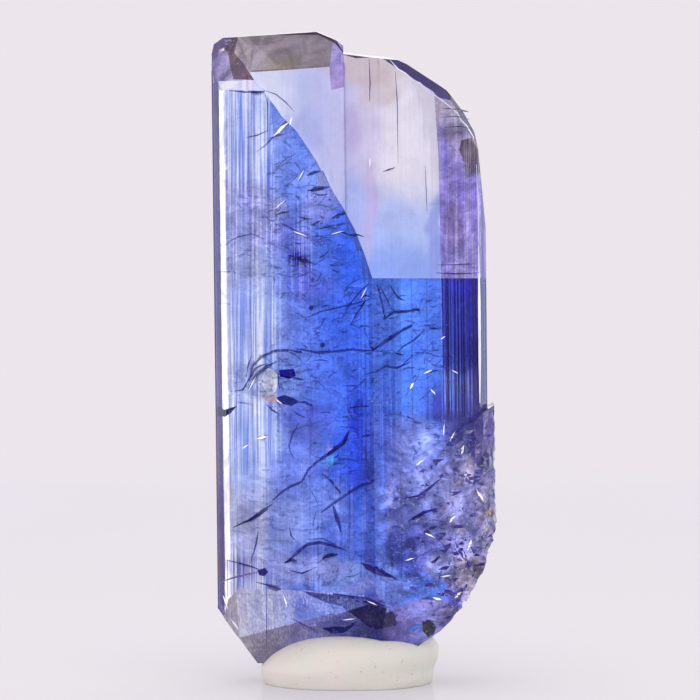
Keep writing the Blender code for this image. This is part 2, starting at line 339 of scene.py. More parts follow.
# Each part has its ground colours from left to right or from low to high, and patches of other
# colours: centre, half sizes, colour, softness and strength
leftGround = (
    # from -6.32 to -6.08 the near-white stops paint the reflection streak along the left edge
    (-6.80, "#7b6590"), (-6.66, "#5a4690"), (-6.42, "#4c3f92"), (-6.37, "#4a3e92"), (-6.32, "#eceefa"),
    (-6.08, "#f4f6ff"), (-6.03, "#b0b6d6"), (-5.7, "#c0caf0"), (-4.9, "#b4c4f4"), (-4.0, "#9db0ec"),
    (-3.7, "#8598e4"), (-2.8, "#6680dc"), (-1.6, "#5474dc"), (-0.4, "#4668dc"), (0.92, "#3a5cd2"),
)
leftPatches = (
    ("pale top of the streaks", (-5.1, 28.0), (1.3, 0.9), "#bccaf8", 0.7, 0.9),
    ("bright upper streaks", (-4.9, 26.2), (1.2, 1.0), "#b4c4f8", 0.8, 0.7),
    ("lavender cloud", (-4.7, 22.4), (1.5, 2.0), "#9c9edc", 0.9, 0.85),
    ("pale cloud", (-5.1, 20.0), (0.9, 1.2), "#a8b0de", 0.6, 0.8),
    ("blue under the curve", (-3.4, 26.0), (0.7, 1.1), "#859cee", 0.5, 0.9),
    ("upper middle", (-2.9, 24.6), (1.3, 1.4), "#7690e8", 0.9, 0.8),
    ("bright under the curve", (-1.7, 23.9), (0.7, 1.1), "#809af0", 0.5, 0.8),
    ("violet veil", (-2.9, 21.4), (0.9, 1.0), "#5f66cc", 0.8, 0.7),
    ("violet haze by the curve", (-1.5, 23.1), (0.8, 0.9), "#8c92d8", 0.5, 0.75),
    ("navy patch", (-2.52, 20.35), (0.46, 0.42), "#0c0a8c", 0.25, 1.0),
    ("violet middle", (-2.3, 19.2), (1.2, 0.9), "#5a64cc", 0.8, 0.7),
    ("deep right of the curve", (0.1, 20.3), (0.8, 1.5), "#3a64e0", 0.6, 0.8),
    ("deep middle", (-0.3, 17.4), (1.2, 1.6), "#4064dc", 0.8, 0.7),
    ("pale middle streaks", (-5.0, 17.4), (1.1, 2.2), "#b6c6fa", 0.7, 0.9),
    ("grey cluster", (-5.0, 14.7), (1.0, 0.8), "#8f98d0", 0.5, 0.8),
    ("crack cluster", (-3.7, 14.4), (1.3, 0.8), "#6f86cc", 0.6, 0.6),
    ("pale fan", (-4.9, 13.2), (0.9, 0.8), "#c0c8ee", 0.4, 0.8),
    ("pale low streaks", (-4.9, 10.9), (1.3, 2.3), "#b6c8fa", 0.7, 0.9),
    ("lavender below the cluster", (-2.3, 12.6), (1.3, 0.9), "#525ac0", 0.6, 0.7),
    ("violet pane", (-2.3, 11.6), (0.8, 0.9), "#6672c8", 0.5, 0.7),
    ("cloud under the streaks", (-5.2, 7.8), (1.0, 1.3), "#bcc2ee", 0.6, 0.85),
    ("glassy lavender", (-3.2, 7.7), (1.1, 1.2), "#9cb2ff", 0.6, 0.9),
    ("blue low middle", (-1.6, 7.9), (1.0, 1.6), "#86a2ff", 0.8, 0.85),
    ("pale low middle", (-3.0, 10.0), (1.2, 1.2), "#7c92f4", 0.6, 0.7),
    ("dark by the ridge", (0.35, 11.6), (0.62, 2.6), "#2838bc", 0.35, 0.9),
    ("royal pane", (-0.5, 10.9), (0.7, 1.2), "#3a60e8", 0.4, 0.8),
    ("cyan gleam", (-1.1, 10.75), (0.22, 0.32), "#58b0ff", 0.12, 0.95),
    ("rosy gleam", (-1.25, 11.25), (0.10, 0.20), "#c8a0f0", 0.08, 0.8),
    ("azure low", (-0.3, 6.9), (1.2, 1.4), "#6488ff", 0.6, 0.8),
    ("bright above the lens", (-0.5, 5.0), (1.6, 0.9), "#90acff", 0.4, 0.95),
    ("violet low left", (-4.9, 5.6), (1.3, 0.5), "#9694c8", 0.5, 0.8),
    ("pale above the foot", (-2.7, 5.5), (2.3, 0.6), "#a4b0f8", 0.4, 0.85),
    ("arc shade", (-2.0, 6.6), (1.2, 0.3), "#5a66c0", 0.3, 0.5),
)
rightGround = (
    (-6.7, "#5a86f4"), (0.92, "#6490f8"), (2.2, "#5a86f4"), (3.4, "#567ee8"), (4.1, "#5478de"),
    (4.6, "#5a5cb8"), (5.95, "#544ca4"), (6.0, "#6a5fa8"), (6.8, "#7a6ca8"),
)
rightPatches = (
    ("azure pool", (2.0, 18.2), (1.2, 1.1), "#6090ff", 0.4, 0.9),
    ("azure middle", (2.0, 16.0), (1.2, 1.0), "#5484fa", 0.5, 0.8),
    ("lower azure", (2.3, 14.6), (1.3, 0.9), "#5a86f8", 0.5, 0.8),
    ("dark top of the cloud", (4.6, 13.4), (1.2, 0.9), "#403c9c", 0.5, 0.8),
    ("navy by the side", (5.5, 12.3), (0.7, 0.8), "#4c4698", 0.4, 0.8),
    ("cloud", (2.6, 10.6), (2.2, 2.2), "#7888d8", 0.8, 0.95),
    ("cloud low", (3.4, 8.4), (2.5, 2.0), "#7c84cc", 0.8, 0.9),
    ("cloud by the side", (5.0, 8.6), (1.2, 2.6), "#9092cc", 0.6, 0.9),
    ("side violet", (6.1, 10.9), (0.35, 1.6), "#625aa8", 0.2, 0.9),
    ("side grey", (6.2, 8.0), (0.5, 1.6), "#a298c4", 0.3, 0.9),
    ("lavender bloom", (2.9, 11.4), (0.8, 0.8), "#8a9ae8", 0.4, 0.8),
    ("bright cloud", (3.2, 9.4), (0.8, 0.6), "#90a0ea", 0.4, 0.7),
    ("dusk", (2.4, 6.4), (1.3, 1.2), "#5058b0", 0.6, 0.85),
    ("dusk right", (3.9, 6.2), (1.0, 1.0), "#6a6cb4", 0.5, 0.7),
    ("pale flake", (5.4, 10.2), (0.30, 0.55), "#c4bcd4", 0.2, 0.8),
    ("pale knob", (4.4, 5.5), (0.9, 0.6), "#a0a8e0", 0.4, 0.8),
    ("grey shoulder", (5.6, 5.0), (0.9, 1.3), "#b4aab8", 0.5, 0.9),
    ("yellow stain", (6.45, 8.15), (0.14, 0.16), "#d0bc80", 0.08, 0.8),
    ("blue by the ridge", (1.25, 9.6), (0.28, 4.4), "#6c88ee", 0.12, 0.8),
    ("blue low", (1.5, 4.7), (0.8, 0.8), "#7494f4", 0.4, 0.9),
)
windowGround = (
    (-6.7, "#e8ecff"), (-3.6, "#e2eaff"), (-2.4, "#ccd6ff"), (-1.0, "#d0d4fc"), (0.0, "#d4d4f8"),
    (0.9, "#e0dcf4"), (1.6, "#f2eef8"), (2.6, "#f6f4fc"), (4.0, "#f0f0fa"), (6.7, "#d8d8ee"),
)
windowPatches = (
    ("pale blue half", (2.2, 20.6), (2.4, 2.9), "#bcd0ff", 1.6, 0.97),
    ("blue floor", (2.4, 19.2), (2.2, 1.9), "#a0bcff", 1.4, 0.95),
    ("blue left of the ridge", (0.2, 22.8), (0.9, 1.6), "#b8c8ff", 0.7, 0.9),
    ("lavender by the curve", (-2.2, 26.6), (0.8, 1.0), "#bcc6fa", 0.6, 0.8),
    ("rosy seam", (0.85, 23.2), (0.28, 2.2), "#d4c4f0", 0.25, 0.7),
    ("brown top", (0.8, 29.6), (1.9, 0.8), "#dccfd0", 0.6, 0.9),
    ("brown cloud", (1.4, 28.4), (0.9, 0.8), "#dccccc", 0.5, 0.6),
    ("violet smear", (0.1, 26.6), (0.4, 1.2), "#cabcea", 0.4, 0.6),
    ("grey strip", (3.85, 21.3), (0.36, 2.0), "#9cacf0", 0.14, 0.85),
)
bandGround = (
    (19.4, "#a498e4"), (21.0, "#a698ec"), (23.0, "#b4a4fc"), (25.0, "#aa9ae4"), (26.0, "#b8acd8"),
    (27.0, "#d4c8dc"), (28.6, "#e4dae4"),
)
bandPatches = (
    ("bright violet", (5.5, 23.1), (0.45, 1.6), "#a48cff", 0.3, 0.85),
    ("violet left edge", (4.45, 25.6), (0.25, 1.4), "#9484e4", 0.2, 0.8),
    ("grey-brown patch", (5.75, 25.35), (0.42, 0.85), "#6f6270", 0.18, 0.95),
    ("grey-brown streak", (5.0, 26.5), (0.6, 0.3), "#8c8494", 0.2, 0.8),
    ("rosy grey", (4.9, 22.0), (0.45, 1.3), "#8c76a8", 0.3, 0.8),
)
navyGround = (
    (12.4, "#5654a8"), (13.6, "#5a56ac"), (14.6, "#4a469e"), (15.4, "#22208c"), (19.5, "#201c98"),
)
navyPatches = (
    ("violet gleam", (5.2, 19.0), (0.6, 0.3), "#2c1cc0", 0.3, 0.8),
    ("pale gleam", (4.35, 14.4), (0.45, 0.7), "#8a98e0", 0.3, 0.85),
    ("grey gleam", (5.0, 14.2), (0.5, 0.35), "#7472b4", 0.3, 0.7),
)
topGround = (
    (-6.7, "#8074a0"), (-5.9, "#8c82a8"), (-5.4, "#9690a0"), (-4.9, "#a2969c"), (-2.0, "#aa9ea2"),
    (-0.9, "#aca0a4"), (-0.55, "#b8acd8"), (0.3, "#a898b4"), (1.2, "#9c8ca4"), (2.0, "#55447c"),
    (4.0, "#4c3f80"), (5.2, "#5a4aa0"), (6.7, "#5c4cb0"),
)
topPatches = (
    ("violet speckle", (-3.3, 29.85), (0.9, 0.32), "#a090e8", 0.3, 0.8),
)
footGround = (
    (-6.7, "#dcd2d4"), (-5.2, "#d0c6cc"), (-4.3, "#c0b8c6"), (-3.4, "#b0aacc"), (-2.0, "#969cdc"),
    (-0.5, "#7a80cc"), (0.6, "#5a58ac"), (1.8, "#7470bc"), (3.2, "#8c8ace"), (4.4, "#9c92bc"),
    (6.7, "#b8acb8"),
)
footPatches = (
    ("violet corner", (-2.6, 3.6), (0.4, 0.5), "#6660b8", 0.3, 0.7),
)
sideGround = (
    (0.0, "#a89cc0"), (5.0, "#5c4c92"), (12.5, "#544896"), (14.0, "#2e2690"), (19.3, "#2a2492"),
    (19.7, "#8070c0"), (24.0, "#8c7cc8"), (28.0, "#a898c0"), (31.5, "#b0a4b8"),
)

# How much each part shows striation lines, milky cloud, frost and veins
textureGround = {
    "left": (
        # from -6.3 to -6.08 the painted reflection streak is made fully milky
        (-6.7, (0.0, 0.5, 0.05, 0.3)), (-6.35, (0.0, 0.5, 0.05, 0.3)), (-6.3, (0.0, 1.0, 0.1, 0.0)),
        (-6.08, (0.0, 1.0, 0.1, 0.0)), (-6.0, (1.0, 0.4, 0.04, 0.15)), (-3.95, (1.0, 0.3, 0.04, 0.2)),
        (-3.7, (0.12, 0.3, 0.03, 0.8)), (-2.6, (0.02, 0.25, 0.03, 1.0)), (-1.5, (0.0, 0.2, 0.03, 1.0)),
        (0.92, (0.0, 0.1, 0.02, 1.0)),
    ),
    "right": ((0.9, (0.02, 0.1, 0.02, 0.8)), (4.0, (0.0, 0.15, 0.03, 0.9)), (6.7, (0.0, 0.4, 0.1, 0.6))),
    "window": ((-6.7, (0.03, 0.60, 0.02, 0.03)), (6.7, (0.06, 0.60, 0.02, 0.05))),
    "band": ((3.9, (0.3, 0.55, 0.05, 0.5)), (6.7, (0.3, 0.55, 0.05, 0.6))),
    "navy": ((3.9, (0.0, 0.05, 0.02, 0.3)), (6.7, (0.0, 0.05, 0.02, 0.3))),
    "ends": ((-6.7, (0.0, 0.55, 0.25, 0.3)), (0.8, (0.0, 0.4, 0.15, 0.3)), (1.8, (0.0, 0.12, 0.05, 0.2))),
    "foot": (
        (-6.7, (0.5, 0.45, 0.01, 0.15)), (-3.0, (0.4, 0.35, 0.01, 0.3)), (0.5, (0.2, 0.3, 0.02, 0.8)),
        (3.0, (0.0, 0.5, 0.2, 0.9)), (6.7, (0.0, 0.7, 0.35, 0.9)),
    ),
    "sides": ((-6.7, (0.15, 0.35, 0.05, 0.2)), (6.0, (0.0, 0.25, 0.03, 0.2))),
}
texturePatches = (
    ("etched layer", (4.2, 7.6), (3.2, 5.2), (0.0, 0.55, 0.30, 1.0), 1.2, 0.95),
    ("shoulder", (5.8, 5.0), (1.1, 1.6), (0.0, 0.85, 0.5, 0.8), 0.8, 0.9),
    ("lavender cloud", (-4.7, 21.4), (1.7, 2.6), (0.35, 0.45, 0.05, 0.8), 1.0, 0.85),
    ("violet veil", (-3.0, 21.0), (1.4, 2.6), (0.3, 0.3, 0.03, 1.0), 1.0, 0.7),
    ("cluster", (-4.6, 14.5), (1.7, 0.9), (0.3, 0.3, 0.05, 1.0), 0.6, 0.8),
    ("low glass", (-2.8, 8.0), (3.4, 2.8), (0.15, 0.5, 0.03, 0.7), 0.8, 0.8),
)

# Marks with sharp outlines, in picture steps: outline, colour, and the same four weights
marks = {
    "left dark edge": (
        ((209, 84), (219, 84), (220.5, 250), (222, 400), (225, 582), (215, 582), (211, 400)),
        "#54408c", (0.0, 0.4, 0.05, 0.3)),
    # a white streak near the left edge: painted reflection
    "left painted reflection streak": (
        ((219.5, 92), (223, 92), (224, 145), (226, 250), (227.5, 400), (230, 560), (225.5, 560),
         (222.5, 400), (221, 250), (220, 145)),
        "#eef0ff", (0.0, 0.95, 0.1, 0.0)),
    "brown ribbon": (
        ((229, 37), (238.7, 37.9), (237.3, 43), (234.4, 53.6), (243.7, 64.3), (254.4, 80.9), (233.7, 80),
         (230.9, 68.6), (229.4, 58.6), (226.6, 51.4), (220.9, 46), (222.3, 40.7)),
        "#665156", (0.0, 0.5, 0.2, 0.3)),
    "grey top facet": (
        ((238.7, 36), (328, 36), (333, 42), (329.5, 67.8), (290, 70.6), (251, 73.2), (243.7, 64.3),
         (234.4, 53.6), (237.3, 43)),
        "#968c8c", (0.0, 0.5, 0.12, 0.2)),
    "pale strip": (
        ((219, 82), (254.4, 81), (260, 87), (266, 91.5), (219, 90.5)),
        "#cfcff2", (0.0, 0.5, 0.05, 0.1)),
    "lavender corner": (
        ((333, 43), (338, 41), (343, 52), (345, 70), (344, 88), (331, 91), (329.5, 68)),
        "#b6a8dc", (0.0, 0.4, 0.1, 0.3)),
    "grey pane by the curve": (
        ((317, 173), (323, 171), (330, 186), (317.5, 189)), "#868cc0", (0.2, 0.2, 0.03, 0.2)),
    "blue wedge by the curve": (
        ((270, 100.5), (276, 108), (282, 117), (276, 123), (271, 126)), "#7488dc", (0.0, 0.1, 0.03, 0.6)),
    "left nick": (
        ((217, 405), (224, 410), (237, 406), (231, 413), (225, 417), (217, 416)),
        "#2c2450", (0.0, 0.3, 0.05, 0.2)),
    "pale patch in the cluster": (
        ((262, 376), (268, 368), (276, 371), (278, 381), (276, 391), (270, 398), (265, 390), (260, 382)),
        "#b4bcd0", (0.0, 0.5, 0.1, 0.9)),
    "tan patch in the cluster": (
        ((262, 389), (268, 396), (276, 394), (277, 403), (268, 402), (262, 396)),
        "#a898a8", (0.0, 0.5, 0.1, 0.4)),
    "high navy leaf": (
        ((279, 370), (294, 369), (296, 376), (289, 379), (280, 377)), "#1a1788", (0.0, 0.0, 0.02, 0.0)),
    "low navy leaf": (
        ((276.5, 397.5), (284, 395), (293, 398), (300, 402), (292, 406), (281, 404)),
        "#252a78", (0.0, 0.0, 0.02, 0.0)),
    "foot lens": (
        ((291, 585.5), (301, 591.6), (317, 594), (333, 595.6), (357, 598.5), (369, 600), (379, 605),
         (391, 611), (396, 617), (396, 626), (385, 629.5), (376, 630.5), (365, 626), (359, 620),
         (349, 613), (341, 607), (327, 604), (309, 596)),
        "#48447c", (0.1, 0.15, 0.05, 0.5)),
    "foot lens rim": (
        ((333, 594), (357, 597), (369, 598.5), (379, 603.5), (391, 609.5), (379, 605.5), (369, 601),
         (357, 600), (333, 597)),
        "#2c2868", (0.0, 0.1, 0.05, 0.0)),
    "navy leaf under the lens": (
        ((322, 629), (334, 627.5), (346, 628), (357, 621.5), (352, 629), (343, 634), (332, 635)),
        "#3c46a8", (0.2, 0.1, 0.05, 0.2)),
    "dark bud": (
        ((257, 571), (265, 568.5), (268, 573), (264, 577), (259, 576)), "#322c78", (0.0, 0.3, 0.05, 0.3)),
    "foot bud": (
        ((266, 584), (275, 586), (282, 590), (276, 592.5), (268, 589)), "#6a6490", (0.0, 0.3, 0.05, 0.3)),
    "black speck": (
        ((422.5, 625), (427, 620.5), (433, 622), (436, 628), (434, 635), (428, 638), (423, 632)),
        "#3a3c44", (0.0, 0.7, 0.3, 0.3)),
    "dark low leaf": (
        ((361, 563), (376, 567), (387, 573), (396, 579), (386, 578), (375, 575), (366, 570)),
        "#4a4484", (0.0, 0.2, 0.05, 0.5)),
    "side brown": (
        ((461, 141), (474, 137.5), (478, 150), (480.5, 172), (477, 177), (471, 167), (463, 161),
         (459, 150)),
        "#746670", (0.2, 0.5, 0.1, 0.4)),
}

# Thin dark and pale lines along edges, in picture steps: route, half width and colour
edgeLines = {
    "brown top edge": (((214, 52), (217, 46), (222, 40), (229, 37), (262, 35), (300, 34.5), (318, 34.5),
                        (326, 38), (336, 43.5), (343, 53)), 1.4, "#4a3c44"),
    "brown side edge": (((211.8, 52), (211.8, 100), (212.2, 180), (213.5, 300), (215.5, 420), (217.5, 560),
                         (219, 583)), 0.8, "#6a4c5c"),
    "side top edge": (((343, 55), (356, 58), (372, 57), (388, 58)), 1.3, "#6c5c64"),
    # the pale line along the bevel's inner edge is a painted highlight
    "bevel rim highlight": (((390, 61), (398, 70), (405, 74), (413, 81), (420, 84), (426.7, 91), (436.7, 97.5),
                   (446.7, 105), (456.7, 113), (461, 121), (466.7, 126.7), (471, 134), (474, 139)),
                  0.6, "#e4dcf4"),
    "bevel crest": (((388, 59), (410, 69), (430, 81), (450, 96), (461.7, 111), (470, 126), (475, 140)),
                    1.0, "#3c3060"),
    "right pale thread": (((478.5, 246), (479.2, 300), (479.8, 360), (480, 403)), 1.3, "#e4def4"),
    "right pale thread above": (((476, 165), (478, 200), (478.5, 246)), 1.1, "#b8acee"),
    "ledge edge": (((481, 405), (488, 403), (494, 410)), 1.6, "#55486c"),
    "foot facet edge": (((219, 583), (235, 578), (250, 574.5), (259, 573)), 0.9, "#6a6094"),
}
edgeWeights = (0.0, 0.7, 0.05, 0.0)

# Healed cracks that the photograph shows, each along its route in picture steps: depth under the
# face, reach inwards and seen thickness, in millimetres
crackRoutes = {
    "streak_top_edge": (((229, 91), (245, 93), (264, 92)), 0.10, 0.2, 0.06),
    "streak_top_dash": (((251, 93), (258, 93), (265, 92.5)), 0.08, 0.2, 0.13),
    "streak_side_edge": (((265.5, 95), (267.5, 104), (267.5, 132)), 0.10, 0.2, 0.05),
    "curl_by_the_top": (((264, 91), (276, 95), (286, 103), (294, 112)), 0.2, 0.4, 0.05),
    "thin_upper_left": (((246, 138), (257, 136), (268, 131)), 0.2, 0.4, 0.05),
    "dark_upper_left": (((257, 152), (266, 145), (275, 136), (283, 129)), 0.2, 0.6, 0.07),
    "dash_near_curve_1": (((307, 176), (314, 173), (321, 172)), 0.15, 0.6, 0.09),
    "dash_near_curve_2": (((308, 191), (317, 190), (324, 188), (330, 187)), 0.15, 0.7, 0.15),
    "yellow_spot_line": (((332, 218), (338, 215), (345, 214)), 0.10, 0.4, 0.10),
    "dash_near_curve_3": (((341, 232), (350, 235), (358, 235), (364, 237)), 0.15, 0.5, 0.08),
    "small_dash_1": (((298, 217), (306, 219), (313, 219)), 0.3, 0.5, 0.05),
    "small_dash_2": (((312, 226), (317, 222), (322, 221)), 0.3, 0.5, 0.08),
    "small_dash_3": (((275, 216), (282, 213), (290, 211)), 0.3, 0.5, 0.06),
    "small_dash_4": (((280, 223), (290, 228), (297, 231)), 0.3, 0.5, 0.05),
    "window_dash": (((383, 172), (389, 170), (395, 168)), 0.1, 0.3, 0.08),
    "window_seam": (((395, 72), (397, 100), (398, 164)), 0.08, 0.2, 0.05),
    "window_seam_short": (((369, 60), (370, 84), (369.5, 102)), 0.08, 0.2, 0.06),
    "window_side_line": (((425, 166), (426, 190), (427, 214)), 0.08, 0.2, 0.04),
    "middle_left": (((228, 243), (238, 237), (252, 234), (266, 240)), 0.3, 0.6, 0.05),
    "band_crack_1": (((219, 246), (229, 244)), 0.10, 0.2, 0.06),
    "band_crack_2": (((217, 272), (231, 272)), 0.10, 0.2, 0.09),
    "band_crack_3": (((218, 304), (231, 304)), 0.10, 0.2, 0.06),
    "navy_patch_line": (((289, 256), (298, 258), (304, 262), (312, 263)), 0.3, 0.7, 0.16),
    "pane_1": (((377, 284), (380, 296), (383, 308), (385, 320)), 0.15, 0.6, 0.10),
    "pane_2": (((380, 286), (386, 298), (390, 306)), 0.3, 0.6, 0.07),
    "pane_3": (((389, 284), (394, 292), (399, 298), (405, 301)), 0.15, 0.6, 0.08),
    "pane_4": (((384, 319), (394, 312), (406, 311), (420, 309)), 0.2, 0.8, 0.10),
    "pane_5": (((372, 351), (384, 342), (396, 334), (412, 325)), 0.15, 1.0, 0.16),
    "pane_6": (((398, 352), (404, 346), (414, 340), (424, 330)), 0.3, 0.7, 0.07),
    "pane_7": (((375, 372), (386, 366), (397, 368), (410, 362)), 0.2, 0.7, 0.09),
    "fan_1": (((342, 318), (350, 304), (360, 292), (368, 284)), 0.3, 0.8, 0.06),
    "fan_2": (((350, 326), (358, 312), (366, 300)), 0.4, 0.8, 0.07),
    "faint_middle": (((306, 318), (322, 311), (345, 306), (371, 299)), 0.5, 0.8, 0.06),
    "arc_of_cluster": (((249, 381), (252, 367), (261, 357), (274, 351), (288, 350), (302, 352)),
                       0.15, 1.0, 0.12),
    "inner_arc_of_cluster": (((249, 388), (256, 376), (266, 367), (277, 361)), 0.2, 0.8, 0.13),
    "cluster_tail": (((296, 349), (318, 352), (336, 351), (352, 349), (372, 351)), 0.4, 0.9, 0.09),
    "cluster_left": (((235, 391), (243, 390), (249, 379), (256, 368), (269, 363)), 0.15, 0.7, 0.08),
    "cluster_upright": (((246, 377), (248, 366), (252, 355)), 0.15, 0.5, 0.08),
    "cluster_right_edge": (((278.5, 371), (278, 382), (280, 391)), 0.12, 0.4, 0.05),
    "lens_low_tail": (((296, 402), (305, 402), (312, 405), (313, 418)), 0.2, 0.7, 0.07),
    "lens_high_tail": (((290, 376), (298, 379), (305, 380)), 0.2, 0.7, 0.09),
    "below_cluster": (((266, 404), (272, 410), (278, 414)), 0.2, 0.4, 0.06),
    "upright_hook": (((299, 423), (293, 433), (289, 445), (290, 452), (294, 459)), 0.15, 0.5, 0.08),
    "long_diagonal": (((349, 432), (344, 442), (333, 451), (318, 461), (308, 470), (302, 482), (290, 487),
                       (281, 493), (272, 501)), 0.15, 1.2, 0.12),
    "long_diagonal_wide": (((349, 432), (344, 441), (336, 449), (328, 454)), 0.15, 1.2, 0.22),
    "long_diagonal_low": (((272, 505), (262, 511), (250, 520), (233, 528)), 0.12, 0.8, 0.12),
    # a dark sheet and trace beside the long diagonal: painted shadow, not a crack
    "long_diagonal_shadow": (((268, 509), (258, 516), (246, 523)), 0.2, 0.6, 0.14),
    "second_diagonal": (((375, 480), (362, 485), (346, 495), (333, 504), (321, 513)), 0.15, 1.1, 0.13),
    "branch": (((322, 474), (331, 481), (341, 494)), 0.2, 0.8, 0.14),
    "short_pair_1": (((310, 489), (315, 498), (318, 504)), 0.2, 0.4, 0.04),
    "short_pair_2": (((316, 512), (314, 520), (313, 527)), 0.2, 0.4, 0.04),
    "upright_band": (((333, 506), (337, 518), (341, 532)), 0.4, 0.9, 0.24),
    "left_slant": (((258, 532), (256, 545), (250, 564)), 0.12, 0.6, 0.09),
    "left_slant_low": (((227, 561), (240, 564), (250, 567), (259, 570)), 0.12, 0.5, 0.08),
    "short_tick": (((289, 527), (291, 536), (295, 541)), 0.2, 0.4, 0.08),
    "low_arc": (((287, 563), (296, 554), (307, 545), (320, 543), (333, 546), (346, 551)), 0.2, 1.1, 0.16),
    "low_arc_high": (((308, 540), (322, 539), (336, 545)), 0.3, 0.8, 0.06),
    "low_arc_right": (((322, 559), (330, 556), (338, 555)), 0.2, 0.8, 0.20),
    "low_arc_left": (((284, 564), (291, 560), (297, 562)), 0.2, 0.8, 0.20),
    "low_arc_under": (((289, 571), (302, 574), (316, 568)), 0.2, 0.6, 0.08),
    "right_low_leaf": (((360, 564), (374, 567), (387, 575), (398, 581)), 0.2, 0.8, 0.08),
    "foot_thread": (((256, 583), (268, 586), (281, 590)), 0.1, 0.4, 0.07),
    "foot_crack": (((291, 619), (300, 624), (312, 630), (320, 636)), 0.12, 0.5, 0.07),
    "foot_upright": (((266, 582), (266.3, 618), (266.5, 656)), 0.08, 0.2, 0.05),
    "cloud_line_1": (((405, 499), (419, 496), (430, 488), (441, 479)), 0.12, 0.7, 0.12),
    "cloud_line_2": (((408, 522), (424, 513), (437, 509)), 0.12, 0.7, 0.16),
    "cloud_line_3": (((455, 540), (460, 552), (466, 563)), 0.12, 0.5, 0.12),
    "side_line_high": (((437, 265), (455, 265), (477, 264)), 0.1, 0.3, 0.05),
    "side_line_low": (((436, 273), (455, 274), (479, 273)), 0.1, 0.3, 0.07),
    "side_growth_1": (((442, 109), (456, 110), (468, 112)), 0.1, 0.3, 0.05),
    "side_growth_2": (((440, 118), (456, 117), (470, 120)), 0.1, 0.3, 0.05),
    "side_growth_3": (((444, 128), (460, 127), (474, 130)), 0.1, 0.3, 0.05),
}
# Where a healed crack meets the face it leaves a fine dark trace
traceLook = {
    "widen": 0.5,
    "strength": 0.62,
    "colour": "#26289c",
    "weights": (0.0, 0.15, 0.03, 0.8),
    "endWidth": 0.3,
}

# Small white flashes on the faces, in picture steps: place, half length, half width, turn in degrees
glints = {
    "by the curve": ((281, 130), 11, 3.4, 42),
    "over the curve": ((291, 122), 5, 1.6, 70),
    "window seam": ((370, 163), 5, 1.3, 85),
    "cluster rim": ((252, 384), 8, 1.2, 62),
    "cluster low": ((279, 402), 5, 1.0, -35),
    "low left": ((262, 438), 6, 2.2, 10),
    "low left 2": ((245, 447), 4, 1.4, 30),
    "azure edge": ((412, 386), 4, 2.4, 60),
    "azure edge 2": ((428, 372), 5, 1.4, 20),
    "azure edge 3": ((433, 392), 4, 1.6, -50),
    "cloud 1": ((463, 450), 5, 2.4, 75),
    "cloud 2": ((444, 430), 7, 1.2, 84),
    "cloud 3": ((453, 436), 5, 1.6, 60),
    "cloud 4": ((446, 577), 6, 2.0, 8),
    "cloud 5": ((480, 496), 7, 2.6, -60),
    "cloud 6": ((420, 463), 5, 1.6, 35),
    "cloud 7": ((430, 536), 6, 1.8, -25),
    "cloud 8": ((452, 520), 5, 2.2, 50),
    "cloud 9": ((470, 545), 6, 1.8, 70),
    "cloud 10": ((410, 560), 5, 1.5, 15),
    "cloud 11": ((438, 600), 6, 2.2, -20),
    "cloud 12": ((458, 596), 5, 2.6, 40),
    "navy edge": ((443, 338), 3, 1.2, 30),
    "navy edge 2": ((455, 372), 4, 1.2, -30),
    "middle": ((300, 234), 8, 1.0, -22),
    "middle 2": ((337, 233), 7, 0.9, 15),
    "middle 3": ((301, 176), 7, 1.1, 60),
    "middle 4": ((280, 205), 8, 1.0, 40),
    "pane": ((364, 293), 7, 1.0, 62),
    "foot": ((285, 602), 7, 1.6, -75),
    "foot 2": ((349, 620.5), 7, 1.0, 5),
    "foot 3": ((372, 604), 6, 1.0, -25),
    "foot 4": ((225, 603), 8, 1.6, -70),
    "foot 5": ((234, 625), 7, 1.4, -55),
}
glintLook = {
    "paint": ("#fbfaff", (0.0, 1.0, 0.1, 0.0)),
    "wide": 0.6,
    "crest": 0.2,
    "heel": 0.3,
    "thin": 0.7,
}


def glintOutline(place, halfLength, halfWidth, turn):
    # a diamond, blunt on one side
    look = glintLook
    along = np.array((math.cos(math.radians(turn)), -math.sin(math.radians(turn)))) * halfLength
    aside = np.array((along[1], -along[0])) * halfWidth * look["wide"] / halfLength
    steps = (along, along * look["crest"] + aside, -along, -along * look["heel"] - aside * look["thin"])
    return [tuple(np.array(place) + step) for step in steps]


def copyOfNode(name, newName):
    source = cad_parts[name]
    made = source.copy()
    made.data = source.data.copy()
    made.name = newName
    made.data.name = newName
    bpy.context.scene.collection.objects.link(made)
    made.hide_viewport = False
    made.hide_render = False
    made.hide_set(False)
    made.data.materials.clear()
    return made


def ramp(value, stops):
    places = [s[0] for s in stops]
    colours = np.array([hexColour(s[1]) for s in stops])
    return np.stack([np.interp(value, places, colours[:, k]) for k in range(3)], axis=1)


def patchMask(u, w, centre, radius, softness, strength):
    reach = np.hypot((u - centre[0]) / radius[0], (w - centre[1]) / radius[1])
    edge = softness / min(radius)
    return (1 - smooth(reach, 1 - edge * 0.5, 1 + edge * 0.5)) * strength


def paintPatches(colour, u, w, patches):
    for name, centre, radius, code, softness, strength in patches:
        mask = patchMask(u, w, centre, radius, softness, strength)
        colour += (np.array(hexColour(code)) - colour) * mask[:, None]
    return colour


def textureWeights(value, stops, u, w, patches):
    places = [s[0] for s in stops]
    found = np.stack([np.interp(value, places, [s[1][k] for s in stops]) for k in range(4)], axis=1)
    for name, centre, radius, target, softness, strength in patches:
        mask = patchMask(u, w, centre, radius, softness, strength)
        found += (np.array(target) - found) * mask[:, None]
    return found


def lineU(points, w):
    order = sorted(points, key=lambda p: p[1])
    return np.interp(w, [p[1] for p in order], [p[0] for p in order])


def insideOutline(u, w, outline):
    # counts the outline's edges that pass above each place
    inside = np.zeros(len(u), dtype=bool)
    for (u0, w0), (u1, w1) in zip(outline, outline[1:] + outline[:1]):
        if u0 == u1:
            continue
        spans = (u < u0) != (u < u1)
        inside ^= spans & (w < w0 + (u - u0) * (w1 - w0) / (u1 - u0))
    return inside


